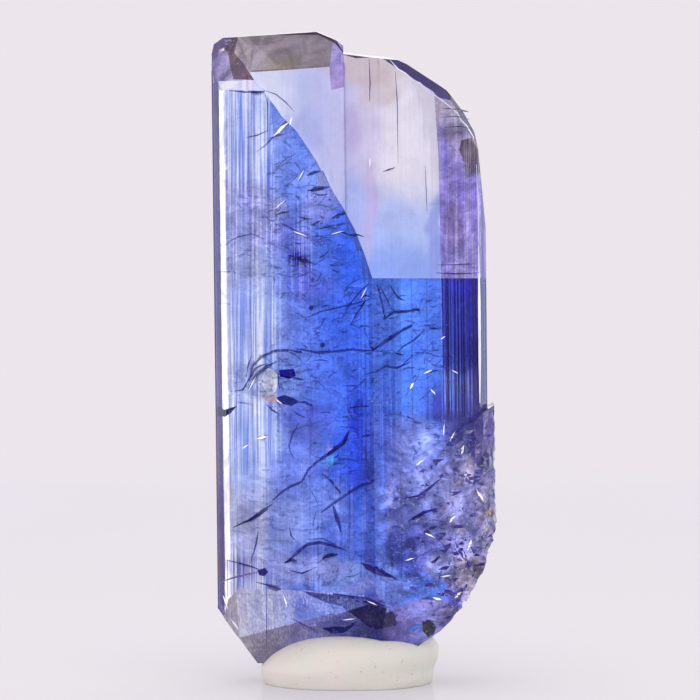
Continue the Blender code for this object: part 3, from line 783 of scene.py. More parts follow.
def ribbonOutline(route, halfWidth):
    # the outline of a line with some width, narrow at its ends
    places = np.array(route, dtype=float)
    ahead = np.gradient(places, axis=0)
    aside = np.stack([ahead[:, 1], -ahead[:, 0]], axis=1)
    aside /= np.hypot(*aside.T)[:, None]
    width = np.full(len(places), halfWidth)
    width[[0, -1]] *= traceLook["endWidth"]
    left = places + aside * width[:, None]
    right = places - aside * width[:, None]
    return [tuple(p) for p in (*left, *right[::-1])]


def drawnShapes():
    # every sharp mark, edge line and crack trace: its outline in u and w, colour, weights and strength
    widen = traceLook["widen"] / picture["step"]
    trace = (traceLook["colour"], traceLook["weights"], traceLook["strength"])
    shapes = [(outline, code, weights, 1.0) for outline, code, weights in marks.values()]
    for route, half, code in edgeLines.values():
        shapes.append((ribbonOutline(route, half), code, edgeWeights, 1.0))
    for route, depth, reach, thick in crackRoutes.values():
        shapes.append((ribbonOutline(route, thick * widen), *trace))
    shapes += [(glintOutline(*values), *glintLook["paint"], 1.0) for values in glints.values()]
    return [([fromPicture(p) for p in outline], *rest) for outline, *rest in shapes]


def wobble(points, perMm, amount):
    shift = np.array([noise.noise_vector(Vector(p / mm * perMm)) for p in points])
    return shift[:, 0] * amount, shift[:, 2] * amount


def sliceCrystal(mesh, look):
    # level cuts first, while the mesh is small
    for axis, step in ((2, look["stepUp"]), (0, look["stepAcross"]), (1, look["stepDeep"])):
        low, high = cadLow[axis], cadHigh[axis]
        for k in range(1, int((high - low) / step)):
            point = Vector((0, 0, 0))
            point[axis] = low + (k + look["cutShift"]) * step
            normal = Vector((0, 0, 0))
            normal[axis] = 1
            everything = mesh.verts[:] + mesh.edges[:] + mesh.faces[:]
            bmesh.ops.bisect_plane(mesh, geom=everything, dist=look["cutWeld"], plane_co=point,
                                   plane_no=normal)


def cutAlong(mesh, start, end, front):
    # parts the front faces along a line that is drawn as it is seen
    near = toPlace(*start, growthFrame["cutNear"])
    far = toPlace(*start, 0.0)
    other = toPlace(*end, growthFrame["cutNear"])
    normal = (far - near).cross(other - near)
    if normal.length == 0:
        return
    reach = crystalLook["stepAcross"] / mm
    low, high = sorted((start[1], end[1]))
    left, right = sorted((start[0], end[0]))
    u, w = front["places"]
    chosen = (w > low - reach) & (w < high + reach) & (u > left - reach) & (u < right + reach)
    faces = [front["faces"][k] for k in np.flatnonzero(chosen)]
    if not faces:
        return
    edges = list({e for f in faces for e in f.edges})
    verts = list({v for f in faces for v in f.verts})
    cut = bmesh.ops.bisect_plane(mesh, geom=verts + edges + faces, dist=crystalLook["cutWeld"],
                                 plane_co=near, plane_no=normal.normalized())
    known = set(faces)
    fresh = [g for g in cut["geom"] if isinstance(g, bmesh.types.BMFace) and g not in known]
    if fresh:
        places = placeAsSeen(np.array([f.calc_center_median() for f in fresh]))
        front["faces"] += fresh
        front["places"] = np.append(front["places"], places, axis=1)


def cutOutlines(mesh):
    faces = [f for f in mesh.faces if f.calc_center_median().y < 0]
    centres = np.array([f.calc_center_median() for f in faces])
    front = {"faces": faces, "places": np.array(placeAsSeen(centres))}
    ridge, level = windowEdge[-1]
    ridgeLine = ((ridge, growthFrame["ridgeFoot"]), (ridge, level))
    levelLine = ((ridge, level), (growthFrame["levelEnd"], level))
    routes = [windowEdge, bandEdge, ridgeLine, levelLine]
    routes += [(*outline, outline[0]) for outline, *rest in drawnShapes()]
    for route in routes:
        for start, end in zip(route, route[1:]):
            cutAlong(mesh, start, end, front)


def regionOf(u, w, normals, y):
    # 0 left, 1 right, 2 window, 3 band, 4 navy, 5 upper ends, 6 foot, 7 sides
    level = windowEdge[-1][1]
    window = (w > level) & (u > lineU(windowEdge, w))
    band = u > lineU(bandEdge, w)
    region = np.where(u > growthFrame["ridge"], 1, 0)
    region = np.where(window, 2, region)
    region = np.where(band & (w > level), 3, region)
    region = np.where(band & (w <= level) & (w > growthFrame["ledge"] - growthFrame["ledgeBlend"]), 4,
                      region)
    ends = np.where(y < 0, crystalLook["endNormal"], crystalLook["backEndNormal"])
    region = np.where(normals[:, 2] > ends, 5, region)
    region = np.where(normals[:, 2] < crystalLook["footNormal"], 6, region)
    upright = np.abs(normals[:, 2]) < crystalLook["sideLevel"]
    region = np.where((np.abs(normals[:, 0]) > crystalLook["sideNormal"]) & upright, 7, region)
    return region


def paintOver(target, ground, cloud):
    # the paint for a front face that shows the target colour over the ground behind it: its cloudy
    # share shows the paint itself, its clear share the geometric mean of both
    shown = crystalLook["cloudShown"] * max(cloud, crystalLook["leastCloud"])
    clear = (1 - cloud) * np.sqrt(ground)
    root = (np.sqrt(clear * clear + 4 * shown * target) - clear) / (2 * shown)
    return np.clip(root * root, 0, 1)


def seenFromFront(places):
    # what lies behind is shifted by the wedge of crystal before it
    f = growthFrame
    u, w = placeAsSeen(places)
    shifted = np.where(u < f["backRidge"], u - f["shiftLeft"], u + f["shiftRight"])
    return np.where(places[:, 1] > 0, shifted, u), w


def readMesh(source, key, count, width, kind):
    values = np.zeros(count * width, dtype=kind)
    source.foreach_get(key, values)
    return values.reshape(-1, width) if width > 1 else values


def paintCrystal(mesh):
    count = len(mesh.loops)
    corner = readMesh(mesh.loops, "vertex_index", count, 1, np.int64)
    points = readMesh(mesh.vertices, "co", len(mesh.vertices), 3, float)
    centres = readMesh(mesh.polygons, "center", len(mesh.polygons), 3, float)
    normals = readMesh(mesh.polygons, "normal", len(mesh.polygons), 3, float)
    sizes = readMesh(mesh.polygons, "loop_total", len(mesh.polygons), 1, np.int64)
    faceOf = np.repeat(np.arange(len(mesh.polygons)), sizes)

    u, w = seenFromFront(points)
    du, dw = wobble(points, *growthFrame["drift"])
    fineU, fineW = wobble(points, *growthFrame["fineDrift"])
    centreU, centreW = seenFromFront(centres)
    region = regionOf(centreU, centreW, normals, centres[:, 1])[faceOf]

    cu, cw = (u + du + fineU)[corner], (w + dw + fineW)[corner]
    su, sw = u[corner], w[corner]
    jaggedU = su + fineU[corner] * growthFrame["jagged"]
    layers = (
        paintPatches(ramp(jaggedU, leftGround), cu, cw, leftPatches),
        paintPatches(ramp(su, rightGround), cu, cw, rightPatches),
        paintPatches(ramp(cu, windowGround), cu, cw, windowPatches),
        paintPatches(ramp(cw, bandGround), cu, cw, bandPatches),
        paintPatches(ramp(cw, navyGround), cu, cw, navyPatches),
        paintPatches(ramp(su, topGround), cu, cw, topPatches),
        paintPatches(ramp(cu, footGround), cu, cw, footPatches),
        ramp(sw, sideGround),
    )
    pick = [region[:, None] == k for k in range(len(layers))]
    colour = np.select(pick, layers)
    textures = [
        textureWeights(jaggedU, stops, cu, cw, texturePatches if name in ("left", "right") else ())
        for name, stops in textureGround.items()
    ]
    texture = np.select(pick, textures)

    inFront = centres[:, 1] < 0
    for outline, code, weights, strength in drawnShapes():
        chosen = (insideOutline(centreU, centreW, outline) & inFront)[faceOf]
        ground = colour[chosen]
        wanted = ground + (np.array(hexColour(code)) - ground) * strength
        colour[chosen] = paintOver(wanted, ground, weights[1])
        texture[chosen] += (np.array(weights) - texture[chosen]) * strength
    for name, values in (("growthColour", np.append(colour, np.ones((count, 1)), axis=1)),
                         ("growthTexture", texture)):
        made = mesh.color_attributes.new(name, "FLOAT_COLOR", "CORNER")
        made.data.foreach_set("color", values.ravel())


etchLook = {
    "edge": 2.35,
    "slope": 0.61,
    "side": 6.6,
    "relief": 0.10,
    "perMm": 1.3,
    "shoulderRelief": 0.16,
    "footRelief": 0.03,
    "level": 0.45,
    "fold": 2.0,
    "fine": 2.7,
    "fineShare": 0.8,
    "lowBelow": (0.05, 0.5),
    "lowAcross": 0.4,
    "shoulderAcross": (3.4, 5.2),
    "shoulderTop": (6.5, 7.8),
    "footAcross": (-6.0, -5.2),
    "footTop": (3.6, 4.6),
}


def etchedWeight(u, w):
    # where the surface is etched or broken: low on the right, on its shoulder and at the left foot
    e = etchLook
    top = growthFrame["ledge"] - e["slope"] * (e["side"] - u)
    low = smooth(top - w, *e["lowBelow"]) * smooth(u, e["edge"], e["edge"] + e["lowAcross"])
    shoulder = smooth(u, *e["shoulderAcross"]) * (1 - smooth(w, *e["shoulderTop"]))
    leftFoot = (1 - smooth(u, *e["footAcross"])) * (1 - smooth(w, *e["footTop"]))
    relief = low * e["relief"] + shoulder * (e["shoulderRelief"] - e["relief"])
    return relief + leftFoot * e["footRelief"]


def roughenEtched(mesh):
    look = etchLook
    mesh.normal_update()
    verts = mesh.verts[:]
    points = np.array([v.co for v in verts])
    amount = etchedWeight(*placeAsSeen(points))
    for k in np.flatnonzero(amount > 0):
        vertex = verts[k]
        place = vertex.co / mm * look["perMm"]
        ridged = 1 - look["fold"] * abs(noise.noise(place))
        ridged -= look["fineShare"] * abs(noise.noise(place * look["fine"]))
        vertex.co += vertex.normal * ((ridged - look["level"]) * amount[k] * mm)


def buildCrystal():
    crystal = copyOfNode("tanzanite_crystal", "tanzanite_crystal_visual")
    makeActive(crystal)
    bpy.ops.object.mode_set(mode="EDIT")
    bpy.ops.mesh.select_all(action="SELECT")
    bpy.ops.mesh.remove_doubles(threshold=crystalLook["weld"])
    bpy.ops.mesh.dissolve_limited(angle_limit=math.radians(crystalLook["flatDegrees"]))
    bpy.ops.object.mode_set(mode="OBJECT")
    mesh = bmesh.new()
    mesh.from_mesh(crystal.data)
    sliceCrystal(mesh, crystalLook)
    print("crystal sliced", len(mesh.faces))
    cutOutlines(mesh)
    roughenEtched(mesh)
    bmesh.ops.triangulate(mesh, faces=mesh.faces)
    print("crystal faces", len(mesh.faces), "open edges", sum(not e.is_manifold for e in mesh.edges))
    mesh.to_mesh(crystal.data)
    mesh.free()
    paintCrystal(crystal.data)
    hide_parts("tanzanite_crystal")
    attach(crystal, "root")
    return crystal


# Open cracks that flash white, measured the same way
brightRoutes = {
    "white_triangle": (((272, 138), (280, 131), (288, 122)), 0.10, 0.3, 0.22),
    "white_triangle_edge": (((262, 141), (274, 137), (287, 134)), 0.15, 0.3, 0.06),
    "upright_thread": (((319, 253), (319.3, 330), (319.8, 404)), 0.10, 0.1, 0.035),
    "upright_thread_left": (((260, 153), (260.5, 162), (261, 170)), 0.10, 0.1, 0.06),
    "upright_thread_high": (((271, 150), (272.5, 200), (273, 240)), 0.10, 0.1, 0.035),
    "glint_arm_1": (((281, 223), (292, 229), (303, 234), (313, 239)), 0.3, 0.4, 0.06),
    "glint_arm_2": (((325, 236), (336, 234), (346, 229)), 0.3, 0.4, 0.04),
    "glint_arm_3": (((297, 184), (303, 176), (305, 168)), 0.2, 0.4, 0.06),
    "glint_arm_4": (((272, 212), (281, 204), (288, 199)), 0.3, 0.4, 0.05),
    "glint_tick": (((275, 177), (279, 177.5), (283, 177)), 0.1, 0.2, 0.05),
    "window_curl": (((292, 112), (296, 118), (306, 124)), 0.2, 0.3, 0.05),
    "window_glint": (((369, 155), (370, 163), (371, 170)), 0.1, 0.2, 0.07),
    "window_thread": (((378, 208), (378, 218), (379, 228)), 0.1, 0.2, 0.05),
    "pane_glint": (((361, 301), (366, 292), (369, 284)), 0.2, 0.4, 0.05),
    "cluster_rim": (((249, 391), (254, 379), (263, 369), (274, 364)), 0.10, 0.4, 0.06),
    "cluster_glint_1": (((274, 397), (276, 402), (281, 406)), 0.1, 0.2, 0.05),
    "low_glint_1": (((257, 437), (262, 440), (267, 437)), 0.1, 0.3, 0.16),
    "low_thread": (((264, 405), (265, 440), (265.5, 484)), 0.10, 0.1, 0.06),
    "arc_glint": (((326, 551), (334, 553), (342, 552)), 0.15, 0.3, 0.04),
    "cloud_glint_1": (((461, 456), (463, 450), (464, 444)), 0.10, 0.2, 0.15),
    "cloud_glint_2": (((440, 577), (447, 578), (452, 575)), 0.10, 0.2, 0.13),
    "cloud_glint_3": (((411, 390), (413, 384), (415, 380)), 0.10, 0.2, 0.14),
    "cloud_glint_4": (((443, 420), (444, 430), (445, 440)), 0.10, 0.2, 0.08),
    "cloud_glint_5": (((476, 488), (479, 497), (484, 503)), 0.10, 0.2, 0.20),
    "cloud_glint_6": (((450, 442), (453, 436), (456, 430)), 0.10, 0.2, 0.10),
    "foot_thread_1": (((262, 588), (262.5, 620), (263, 650)), 0.08, 0.1, 0.05),
    "foot_glint_1": (((282, 590), (284, 602), (287, 612)), 0.1, 0.2, 0.08),
    "foot_glint_2": (((340, 619), (349, 621), (357, 621)), 0.1, 0.2, 0.05),
    "foot_glint_3": (((365, 601), (372, 604), (380, 609)), 0.1, 0.2, 0.05),
    "foot_edge_glint": (((222, 590), (223, 602), (229, 612)), 0.1, 0.2, 0.10),
}

# Small dark and coloured inclusions, in picture steps: place, radius and colour
inclusions = {
    "navy_ball_1": ((312.5, 280), 2.4, "#16135c"),
    "navy_ball_2": ((311.5, 308), 2.6, "#16135c"),
    "purple_ball": ((323, 345), 2.6, "#3c1c5c"),
    "navy_blob": ((301, 259), 3.0, "#141060"),
    "yellow_speck_1": ((338, 217), 2.0, "#d8b860"),
    "yellow_speck_2": ((344, 213), 1.5, "#f0d890"),
    "tan_speck": ((342.5, 180), 1.2, "#c09870"),
    "dark_dot_1": ((330, 200), 1.2, "#20186c"),
    "dark_dot_2": ((448, 262), 1.0, "#403060"),
    "yellow_side_1": ((489.5, 514), 2.2, "#c8a860"),
    "yellow_side_2": ((469, 590), 2.6, "#b8a478"),
    "side_dot": ((482, 434), 1.4, "#f4f0ff"),
}
crackShape = {
    "film": 0.012 * mm,
    "swell": 1.5,
    "leanLeft": 0.114,
    "leanRight": -0.10,
    "ripple": 0.04,
    "ripplesPerMm": 2.2,
    "small": 260,
    "smallBright": 170,
    "rows": 16,
    "smallRows": 5,
    "tip": 0.04,
    "tipPower": 2.5,
    "roundness": 0.7,
    "rippleAcross": 1.5,
    "rippleUp": 0.5,
}
surface = BVHTree.FromObject(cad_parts["tanzanite_crystal"], bpy.context.evaluated_depsgraph_get())


def surfaceDepth(u, w):
    # the y, in millimetres, of the front surface seen at u and w, deeper where it is etched
    start = toPlace(u, w, growthFrame["frontReach"])
    ahead = (toPlace(u, w, 0.0) - start).normalized()
    hit = surface.ray_cast(start, ahead)[0]
    return None if hit is None else hit.y / mm + float(etchedWeight(u, w))


def crackSheet(name, route, depth, reach, thickness, seed, rows):
    # a thin lens-shaped sheet: a grid laid along the route, tapered, rippled and given a thickness
    look = crackShape
    places = np.array([fromPicture(p) for p in route])
    lengths = np.concatenate([[0], np.cumsum(np.hypot(*np.diff(places, axis=0).T))])
    level = surfaceDepth(*places[len(places) // 2])
    if level is None:
        return None
    deselectAll()
    bpy.ops.mesh.primitive_grid_add(x_subdivisions=rows, y_subdivisions=2, size=1)
    sheet = bpy.context.object
    sheet.name = name
    for vertex in sheet.data.vertices:
        t = vertex.co.x + 0.5
        side = vertex.co.y
        along = t * lengths[-1]
        u = np.interp(along, lengths, places[:, 0])
        w = np.interp(along, lengths, places[:, 1])
        taper = max(look["tip"], 1 - abs(2 * t - 1) ** look["tipPower"]) ** look["roundness"]
        across = side * reach * look["rippleAcross"]
        ripple = noise.noise_vector(Vector((along * look["ripplesPerMm"], across, seed)))
        inward = depth + (side + 0.5) * reach * taper
        found = surfaceDepth(u, w)
        level = level if found is None else found
        lean = look["leanLeft"] if u < growthFrame["ridge"] else look["leanRight"]
        u += lean * inward + ripple.x * look["ripple"]
        w += (side * taper + ripple.y * look["rippleUp"]) * thickness * look["swell"]
        vertex.co = toPlace(u, w, level + inward)
    solid = sheet.modifiers.new("gap", "SOLIDIFY")
    solid.thickness = look["film"]
    solid.offset = 0
    applyModifiers(sheet)
    return sheet


# Healed cracks are films of tiny bubbles, dark and silky; open ones flash back the light
filmPatch = {"size": 0.25 * mm, "bare": 0.3, "covered": 0.6}
healedFilm = {"deep": "#0e0c58", "pale": "#24249c", "coverLow": 0.60, "roughness": 0.25}
openFilm = {"deep": "#c8d8ff", "pale": "#ffffff", "coverLow": 0.5, "roughness": 0.15}


def crackMaterial(name, look):
    # patchy and partly see-through
    material, tree = newMaterial(name)
    where = addNode(tree, "ShaderNodeTexCoord")
    patch = addNode(tree, "ShaderNodeTexNoise", Vector=where.outputs["Object"],
                    Scale=0.5 / filmPatch["size"], Detail=3.0)
    tint = addNode(tree, "ShaderNodeMix", {"data_type": "RGBA"}, Factor=patch.outputs[0],
                   i6=paintOf(look["deep"]), i7=paintOf(look["pale"]))
    cover = addNode(tree, "ShaderNodeMapRange", Value=patch.outputs[0], From_Min=filmPatch["bare"],
                    From_Max=filmPatch["covered"], To_Min=look["coverLow"])
    film = addNode(tree, "ShaderNodeBsdfPrincipled", Base_Color=tint.outputs[2],
                   Roughness=look["roughness"], Alpha=cover.outputs[0])
    addNode(tree, "ShaderNodeOutputMaterial", Surface=film.outputs[0])
    return material


# Where small cracks crowd, in picture steps: left, top, right, bottom and share of the whole
crackFields = (
    ((268, 150, 340, 280), 0.26),
    ((276, 280, 374, 470), 0.24),
    ((376, 282, 440, 405), 0.20),
    ((245, 345, 310, 410), 0.08),
    ((376, 410, 480, 600), 0.06),
    ((270, 480, 372, 585), 0.08),
)


# Small cracks: lengths in picture steps, turns in degrees, the rest in millimetres
smallCrackLook = {
    "windowGap": 0.15,
    "length": (4, 10),
    "extraLength": 20,
    "turn": (8, 30),
    "steepTurn": 80,
    "steepShare": 0.22,
    "bend": 0.9,
    "parts": (-0.5, -0.15, 0.2, 0.5),
    "depth": 0.05,
    "extraDepth": 1.3,
    "reach": (0.2, 0.6),
    "healedThickness": (0.02, 0.06),
    "openThickness": (0.02, 0.07),
    "healedSeed": 5,
    "openSeed": 9,
}


def smallCracks(name, count, seed, thickness):
    # short cracks scattered through the blue parts, mostly lying flat and seen nearly edge on
    look = smallCrackLook
    rng = random.Random(seed)
    made = []
    while len(made) < count:
        (left, top, right, bottom), share = rng.choices(crackFields, [f[1] for f in crackFields])[0]
        px = rng.uniform(left, right)
        py = rng.uniform(top, bottom)
        u, w = fromPicture((px, py))
        if w > windowEdge[-1][1] and u > lineU(windowEdge, w) - look["windowGap"]:
            continue
        length = rng.uniform(*look["length"]) + rng.random() ** 3 * look["extraLength"]
        lying = rng.gauss(*look["turn"])
        turn = math.radians(lying + (look["steepTurn"] if rng.random() < look["steepShare"] else 0))
        bend = rng.uniform(-look["bend"], look["bend"])
        route = [
            (px + length * t * math.cos(turn + bend * t), py - length * t * math.sin(turn + bend * t))
            for t in look["parts"]
        ]
        depth = look["depth"] + look["extraDepth"] * rng.random() ** 2
        reach = rng.uniform(*look["reach"])
        sheet = crackSheet(f"{name}_{len(made)}", route, depth, reach, rng.uniform(*thickness),
                           len(made), crackShape["smallRows"])
        if sheet:
            made.append(sheet)
    return made


def routeSheets(routes):
    # one sheet for each measured route that the crystal's face covers
    named = enumerate(routes.items())
    sheets = [crackSheet(name, *values, seed, crackShape["rows"]) for seed, (name, values) in named]
    return [sheet for sheet in sheets if sheet]


def buildCracks():
    look = smallCrackLook
    dark = routeSheets(crackRoutes)
    dark += smallCracks("small_crack", crackShape["small"], look["healedSeed"], look["healedThickness"])
    piece = joinPieces(dark, "healed_cracks")
    piece.data.materials.append(crackMaterial("healed crack film", healedFilm))
    bright = routeSheets(brightRoutes)
    bright += smallCracks("small_glint", crackShape["smallBright"], look["openSeed"], look["openThickness"])
    shine = joinPieces(bright, "bright_cracks")
    shine.data.materials.append(crackMaterial("open crack glint", openFilm))
    for each in (piece, shine):
        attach(each, "root")


grainLook = {
    "cover": 0.06,
    "lump": 0.35,
    "lumpsAcross": 1.4,
    "spotSize": 0.1 * mm,
    "shadeLow": 0.6,
    "shadeHigh": 1.3,
    "roughness": 0.5,
}


def buildInclusions():
    look = grainLook
    made = []
    for name, (place, radius, code) in inclusions.items():
        u, w = fromPicture(place)
        level = surfaceDepth(u, w)
        size = radius * picture["step"]
        bpy.ops.mesh.primitive_ico_sphere_add(subdivisions=2, radius=1)
        grain = bpy.context.object
        grain.name = name
        centre = toPlace(u, w, level + size + look["cover"])
        for vertex in grain.data.vertices:
            bumpPlace = vertex.co * look["lumpsAcross"] + Vector((radius, place[0], 0))
            lump = 1 + look["lump"] * noise.noise(bumpPlace)
            vertex.co = centre + vertex.co * (size * lump * mm)
        material, tree = newMaterial(f"{name} mineral grain")
        where = addNode(tree, "ShaderNodeTexCoord")
        spots = addNode(tree, "ShaderNodeTexNoise", Vector=where.outputs["Object"],
                        Scale=0.5 / look["spotSize"])
        shade = addNode(tree, "ShaderNodeMapRange", Value=spots.outputs[0], To_Min=look["shadeLow"],
                        To_Max=look["shadeHigh"])
        tone = addNode(tree, "ShaderNodeMix", {"data_type": "RGBA", "blend_type": "MULTIPLY"}, Factor=1.0,
                       i6=paintOf(code), i7=shade.outputs[0])
        body = addNode(tree, "ShaderNodeBsdfPrincipled", Base_Color=tone.outputs[2],
                       Roughness=look["roughness"])
        addNode(tree, "ShaderNodeOutputMaterial", Surface=body.outputs[0])
        grain.data.materials.append(material)
        made.append(grain)
    piece = joinPieces(made, "mineral_grains")
    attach(piece, "root")


buildCracks()
buildInclusions()
print("cracks and inclusions ready")

crystal = buildCrystal()

# Tanzanite as it grew: clear faces drawn with fine upright lines, milky where healed cracks crowd,
# and frosted where it was etched. The eye sees streaks, drifting cloud, veins and small glints.
faceLook = {
    "lineWidth": 0.085 * mm,
    "broadLineWidth": 0.6 * mm,
    "lineLength": 60.0,
    "cloudSize": 0.7 * mm,
    "grainSize": 0.16 * mm,
    "clumpSize": 1.1 * mm,
    "speckSize": 0.07 * mm,
    "flatten": 1.7,
    "paleLine": "#f4f7ff",
    "deepLine": (0.42, 0.48, 0.82, 1),
    # the pale speck colour paints small glints
    "paleSpeck": "#eef2ff",
    "deepSpeck": "#2a2488",
    "clearRoughness": 0.012,
    "frostRoughness": 0.6,
    "bumpHeight": 0.004 * mm,
    "pitHeight": 3.0,
    "lumpHeight": 8.0,
    "bundles": 0.7,
    "paleLines": {"From_Min": 0.88, "From_Max": 0.98},
    "deepLines": {"From_Min": 0.82, "From_Max": 0.70},
    "lineNoise": {"Detail": 1.0, "Roughness": 0.5},
    "cloudNoise": {"Detail": 6.0, "Roughness": 0.65, "Distortion": 0.8},
    "grainNoise": {"Detail": 3.0, "Roughness": 0.6, "Distortion": 0.6},
    "clumpNoise": {"Detail": 4.0, "Roughness": 0.6, "Distortion": 1.5},
    "veinNoise": {"Detail": 3.0, "Roughness": 0.55, "Distortion": 1.2},
    "cloudShade": {"From_Min": 0.32, "From_Max": 0.68, "To_Min": 0.5, "To_Max": 1.5},
    "grainShade": {"From_Min": 0.3, "From_Max": 0.7, "To_Min": 0.82, "To_Max": 1.18},
    "clumpShade": {"From_Min": 0.38, "From_Max": 0.62, "To_Min": 0.45, "To_Max": 1.9},
    "clumpShare": 3.5,
    "veinGaps": {"From_Min": 0.58, "From_Max": 0.42},
    "veinCore": 0.3,
    "speckShare": 2.5,
    "paleSpots": {"From_Min": 0.64, "From_Max": 0.70, "To_Max": 0.6},
    "deepSpots": {"From_Min": 0.36, "From_Max": 0.30, "To_Max": 0.6},
    "milk": {"From_Min": 0.35, "From_Max": 0.65, "To_Min": 0.6, "To_Max": 1.3},
}

# Healed cracks that reach a face draw veins on it: size, line width, colour, strength and place
veins = (
    (1.6 * mm, 0.012, "#1c1a80", 0.75, (0.0, 0.0, 0.0)),
    (0.8 * mm, 0.014, "#26268e", 0.60, (0.013, 0.0, 0.007)),
    (1.1 * mm, 0.010, "#a8bcff", 0.50, (0.0, 0.021, 0.011)),
    (0.45 * mm, 0.026, "#2e309c", 0.30, (0.017, 0.005, 0.0)),
)


def grownFaceMaterial(look, crystalValues):
    material, tree = newMaterial("tanzanite grown faces")
    paint = addNode(tree, "ShaderNodeVertexColor", {"layer_name": "growthColour"})
    kind = addNode(tree, "ShaderNodeVertexColor", {"layer_name": "growthTexture"})
    part = addNode(tree, "ShaderNodeSeparateColor", Color=kind.outputs[0])
    streak, cloud, frost = part.outputs[0], part.outputs[1], part.outputs[2]
    busy = kind.outputs[1]
    where = addNode(tree, "ShaderNodeTexCoord")
    place = where.outputs["Object"]
    lean = math.radians(growthFrame["leanDegrees"])
    upright = addNode(tree, "ShaderNodeMapping", Vector=place, Rotation=(0, lean, 0),
                      Scale=(1, 1, 1 / look["lineLength"]))
    lying = addNode(tree, "ShaderNodeMapping", Vector=place, Scale=(1, 1, look["flatten"]))
    fine = addNode(tree, "ShaderNodeTexNoise", Vector=upright.outputs[0], Scale=1 / look["lineWidth"],
                   **look["lineNoise"])
    broad = addNode(tree, "ShaderNodeTexNoise", Vector=upright.outputs[0],
                    Scale=1 / look["broadLineWidth"], **look["lineNoise"])
    drift = addNode(tree, "ShaderNodeTexNoise", Vector=lying.outputs[0], Scale=0.5 / look["cloudSize"],
                    **look["cloudNoise"])
    grain = addNode(tree, "ShaderNodeTexNoise", Vector=lying.outputs[0], Scale=0.5 / look["grainSize"],
                    **look["grainNoise"])
    clumps = addNode(tree, "ShaderNodeTexNoise", Vector=place, Scale=0.5 / look["clumpSize"],
                     **look["clumpNoise"])
    specks = addNode(tree, "ShaderNodeTexNoise", Vector=place, Scale=0.5 / look["speckSize"], Detail=2.0)

    # upright lines, pale and deep, gathered in broader bundles
    lines = addNode(tree, "ShaderNodeMath", {"operation": "MULTIPLY_ADD"}, i0=broad.outputs[0],
                    i1=look["bundles"], i2=fine.outputs[0])
    paleLines = addNode(tree, "ShaderNodeMapRange", {"interpolation_type": "SMOOTHSTEP"},
                        Value=lines.outputs[0], **look["paleLines"])
    paleMask = addNode(tree, "ShaderNodeMath", {"operation": "MULTIPLY", "use_clamp": True},
                       i0=paleLines.outputs[0], i1=streak)
    deepLines = addNode(tree, "ShaderNodeMapRange", {"interpolation_type": "SMOOTHSTEP"},
                        Value=lines.outputs[0], **look["deepLines"])
    deepMask = addNode(tree, "ShaderNodeMath", {"operation": "MULTIPLY", "use_clamp": True},
                       i0=deepLines.outputs[0], i1=streak)
    deeper = addNode(tree, "ShaderNodeMix", {"data_type": "RGBA", "blend_type": "MULTIPLY"},
                     Factor=deepMask.outputs[0], i6=paint.outputs[0], i7=look["deepLine"])
    paler = addNode(tree, "ShaderNodeMix", {"data_type": "RGBA"}, Factor=paleMask.outputs[0],
                    i6=deeper.outputs[2], i7=paintOf(look["paleLine"]))

    # drifting cloud and grain, lighter and darker by turns
    mottle = addNode(tree, "ShaderNodeMapRange", Value=drift.outputs[0], **look["cloudShade"])
    grit = addNode(tree, "ShaderNodeMapRange", Value=grain.outputs[0], **look["grainShade"])
    both = addNode(tree, "ShaderNodeMath", {"operation": "MULTIPLY"}, i0=mottle.outputs[0],
                   i1=grit.outputs[0])
    shaded = addNode(tree, "ShaderNodeMix", {"data_type": "RGBA", "blend_type": "MULTIPLY"}, Factor=busy,
                     i6=paler.outputs[2], i7=both.outputs[0])

    # clumps of darker and paler growth in the frosted layer
    clumpy = addNode(tree, "ShaderNodeMath", {"operation": "MULTIPLY", "use_clamp": True}, i0=frost,
                     i1=look["clumpShare"])
    swing = addNode(tree, "ShaderNodeMapRange", Value=clumps.outputs[0], **look["clumpShade"])
    clumped = addNode(tree, "ShaderNodeMix", {"data_type": "RGBA", "blend_type": "MULTIPLY"},
                      Factor=clumpy.outputs[0], i6=shaded.outputs[2], i7=swing.outputs[0])

    # veins, broken up by the grain
    veined = clumped.outputs[2]
    gate = addNode(tree, "ShaderNodeMapRange", {"interpolation_type": "SMOOTHSTEP"},
                   Value=grain.outputs[0], **look["veinGaps"])
    for size, width, code, strength, offset in veins:
        moved = addNode(tree, "ShaderNodeVectorMath", {"operation": "ADD"}, i0=lying.outputs[0], i1=offset)
        wander = addNode(tree, "ShaderNodeTexNoise", Vector=moved.outputs[0], Scale=0.5 / size,
                         **look["veinNoise"])
        off = addNode(tree, "ShaderNodeMath", {"operation": "SUBTRACT"}, i0=wander.outputs[0], i1=0.5)
        far = addNode(tree, "ShaderNodeMath", {"operation": "ABSOLUTE"}, i0=off.outputs[0])
        line = addNode(tree, "ShaderNodeMapRange", {"interpolation_type": "SMOOTHSTEP"},
                       Value=far.outputs[0], From_Min=width, From_Max=width * look["veinCore"],
                       To_Max=strength)
        shown = addNode(tree, "ShaderNodeMath", {"operation": "MULTIPLY"}, i0=line.outputs[0],
                        i1=gate.outputs[0])
        mask = addNode(tree, "ShaderNodeMath", {"operation": "MULTIPLY"}, i0=shown.outputs[0], i1=busy)
        vein = addNode(tree, "ShaderNodeMix", {"data_type": "RGBA"}, Factor=mask.outputs[0], i6=veined,
                       i7=paintOf(code))
        veined = vein.outputs[2]
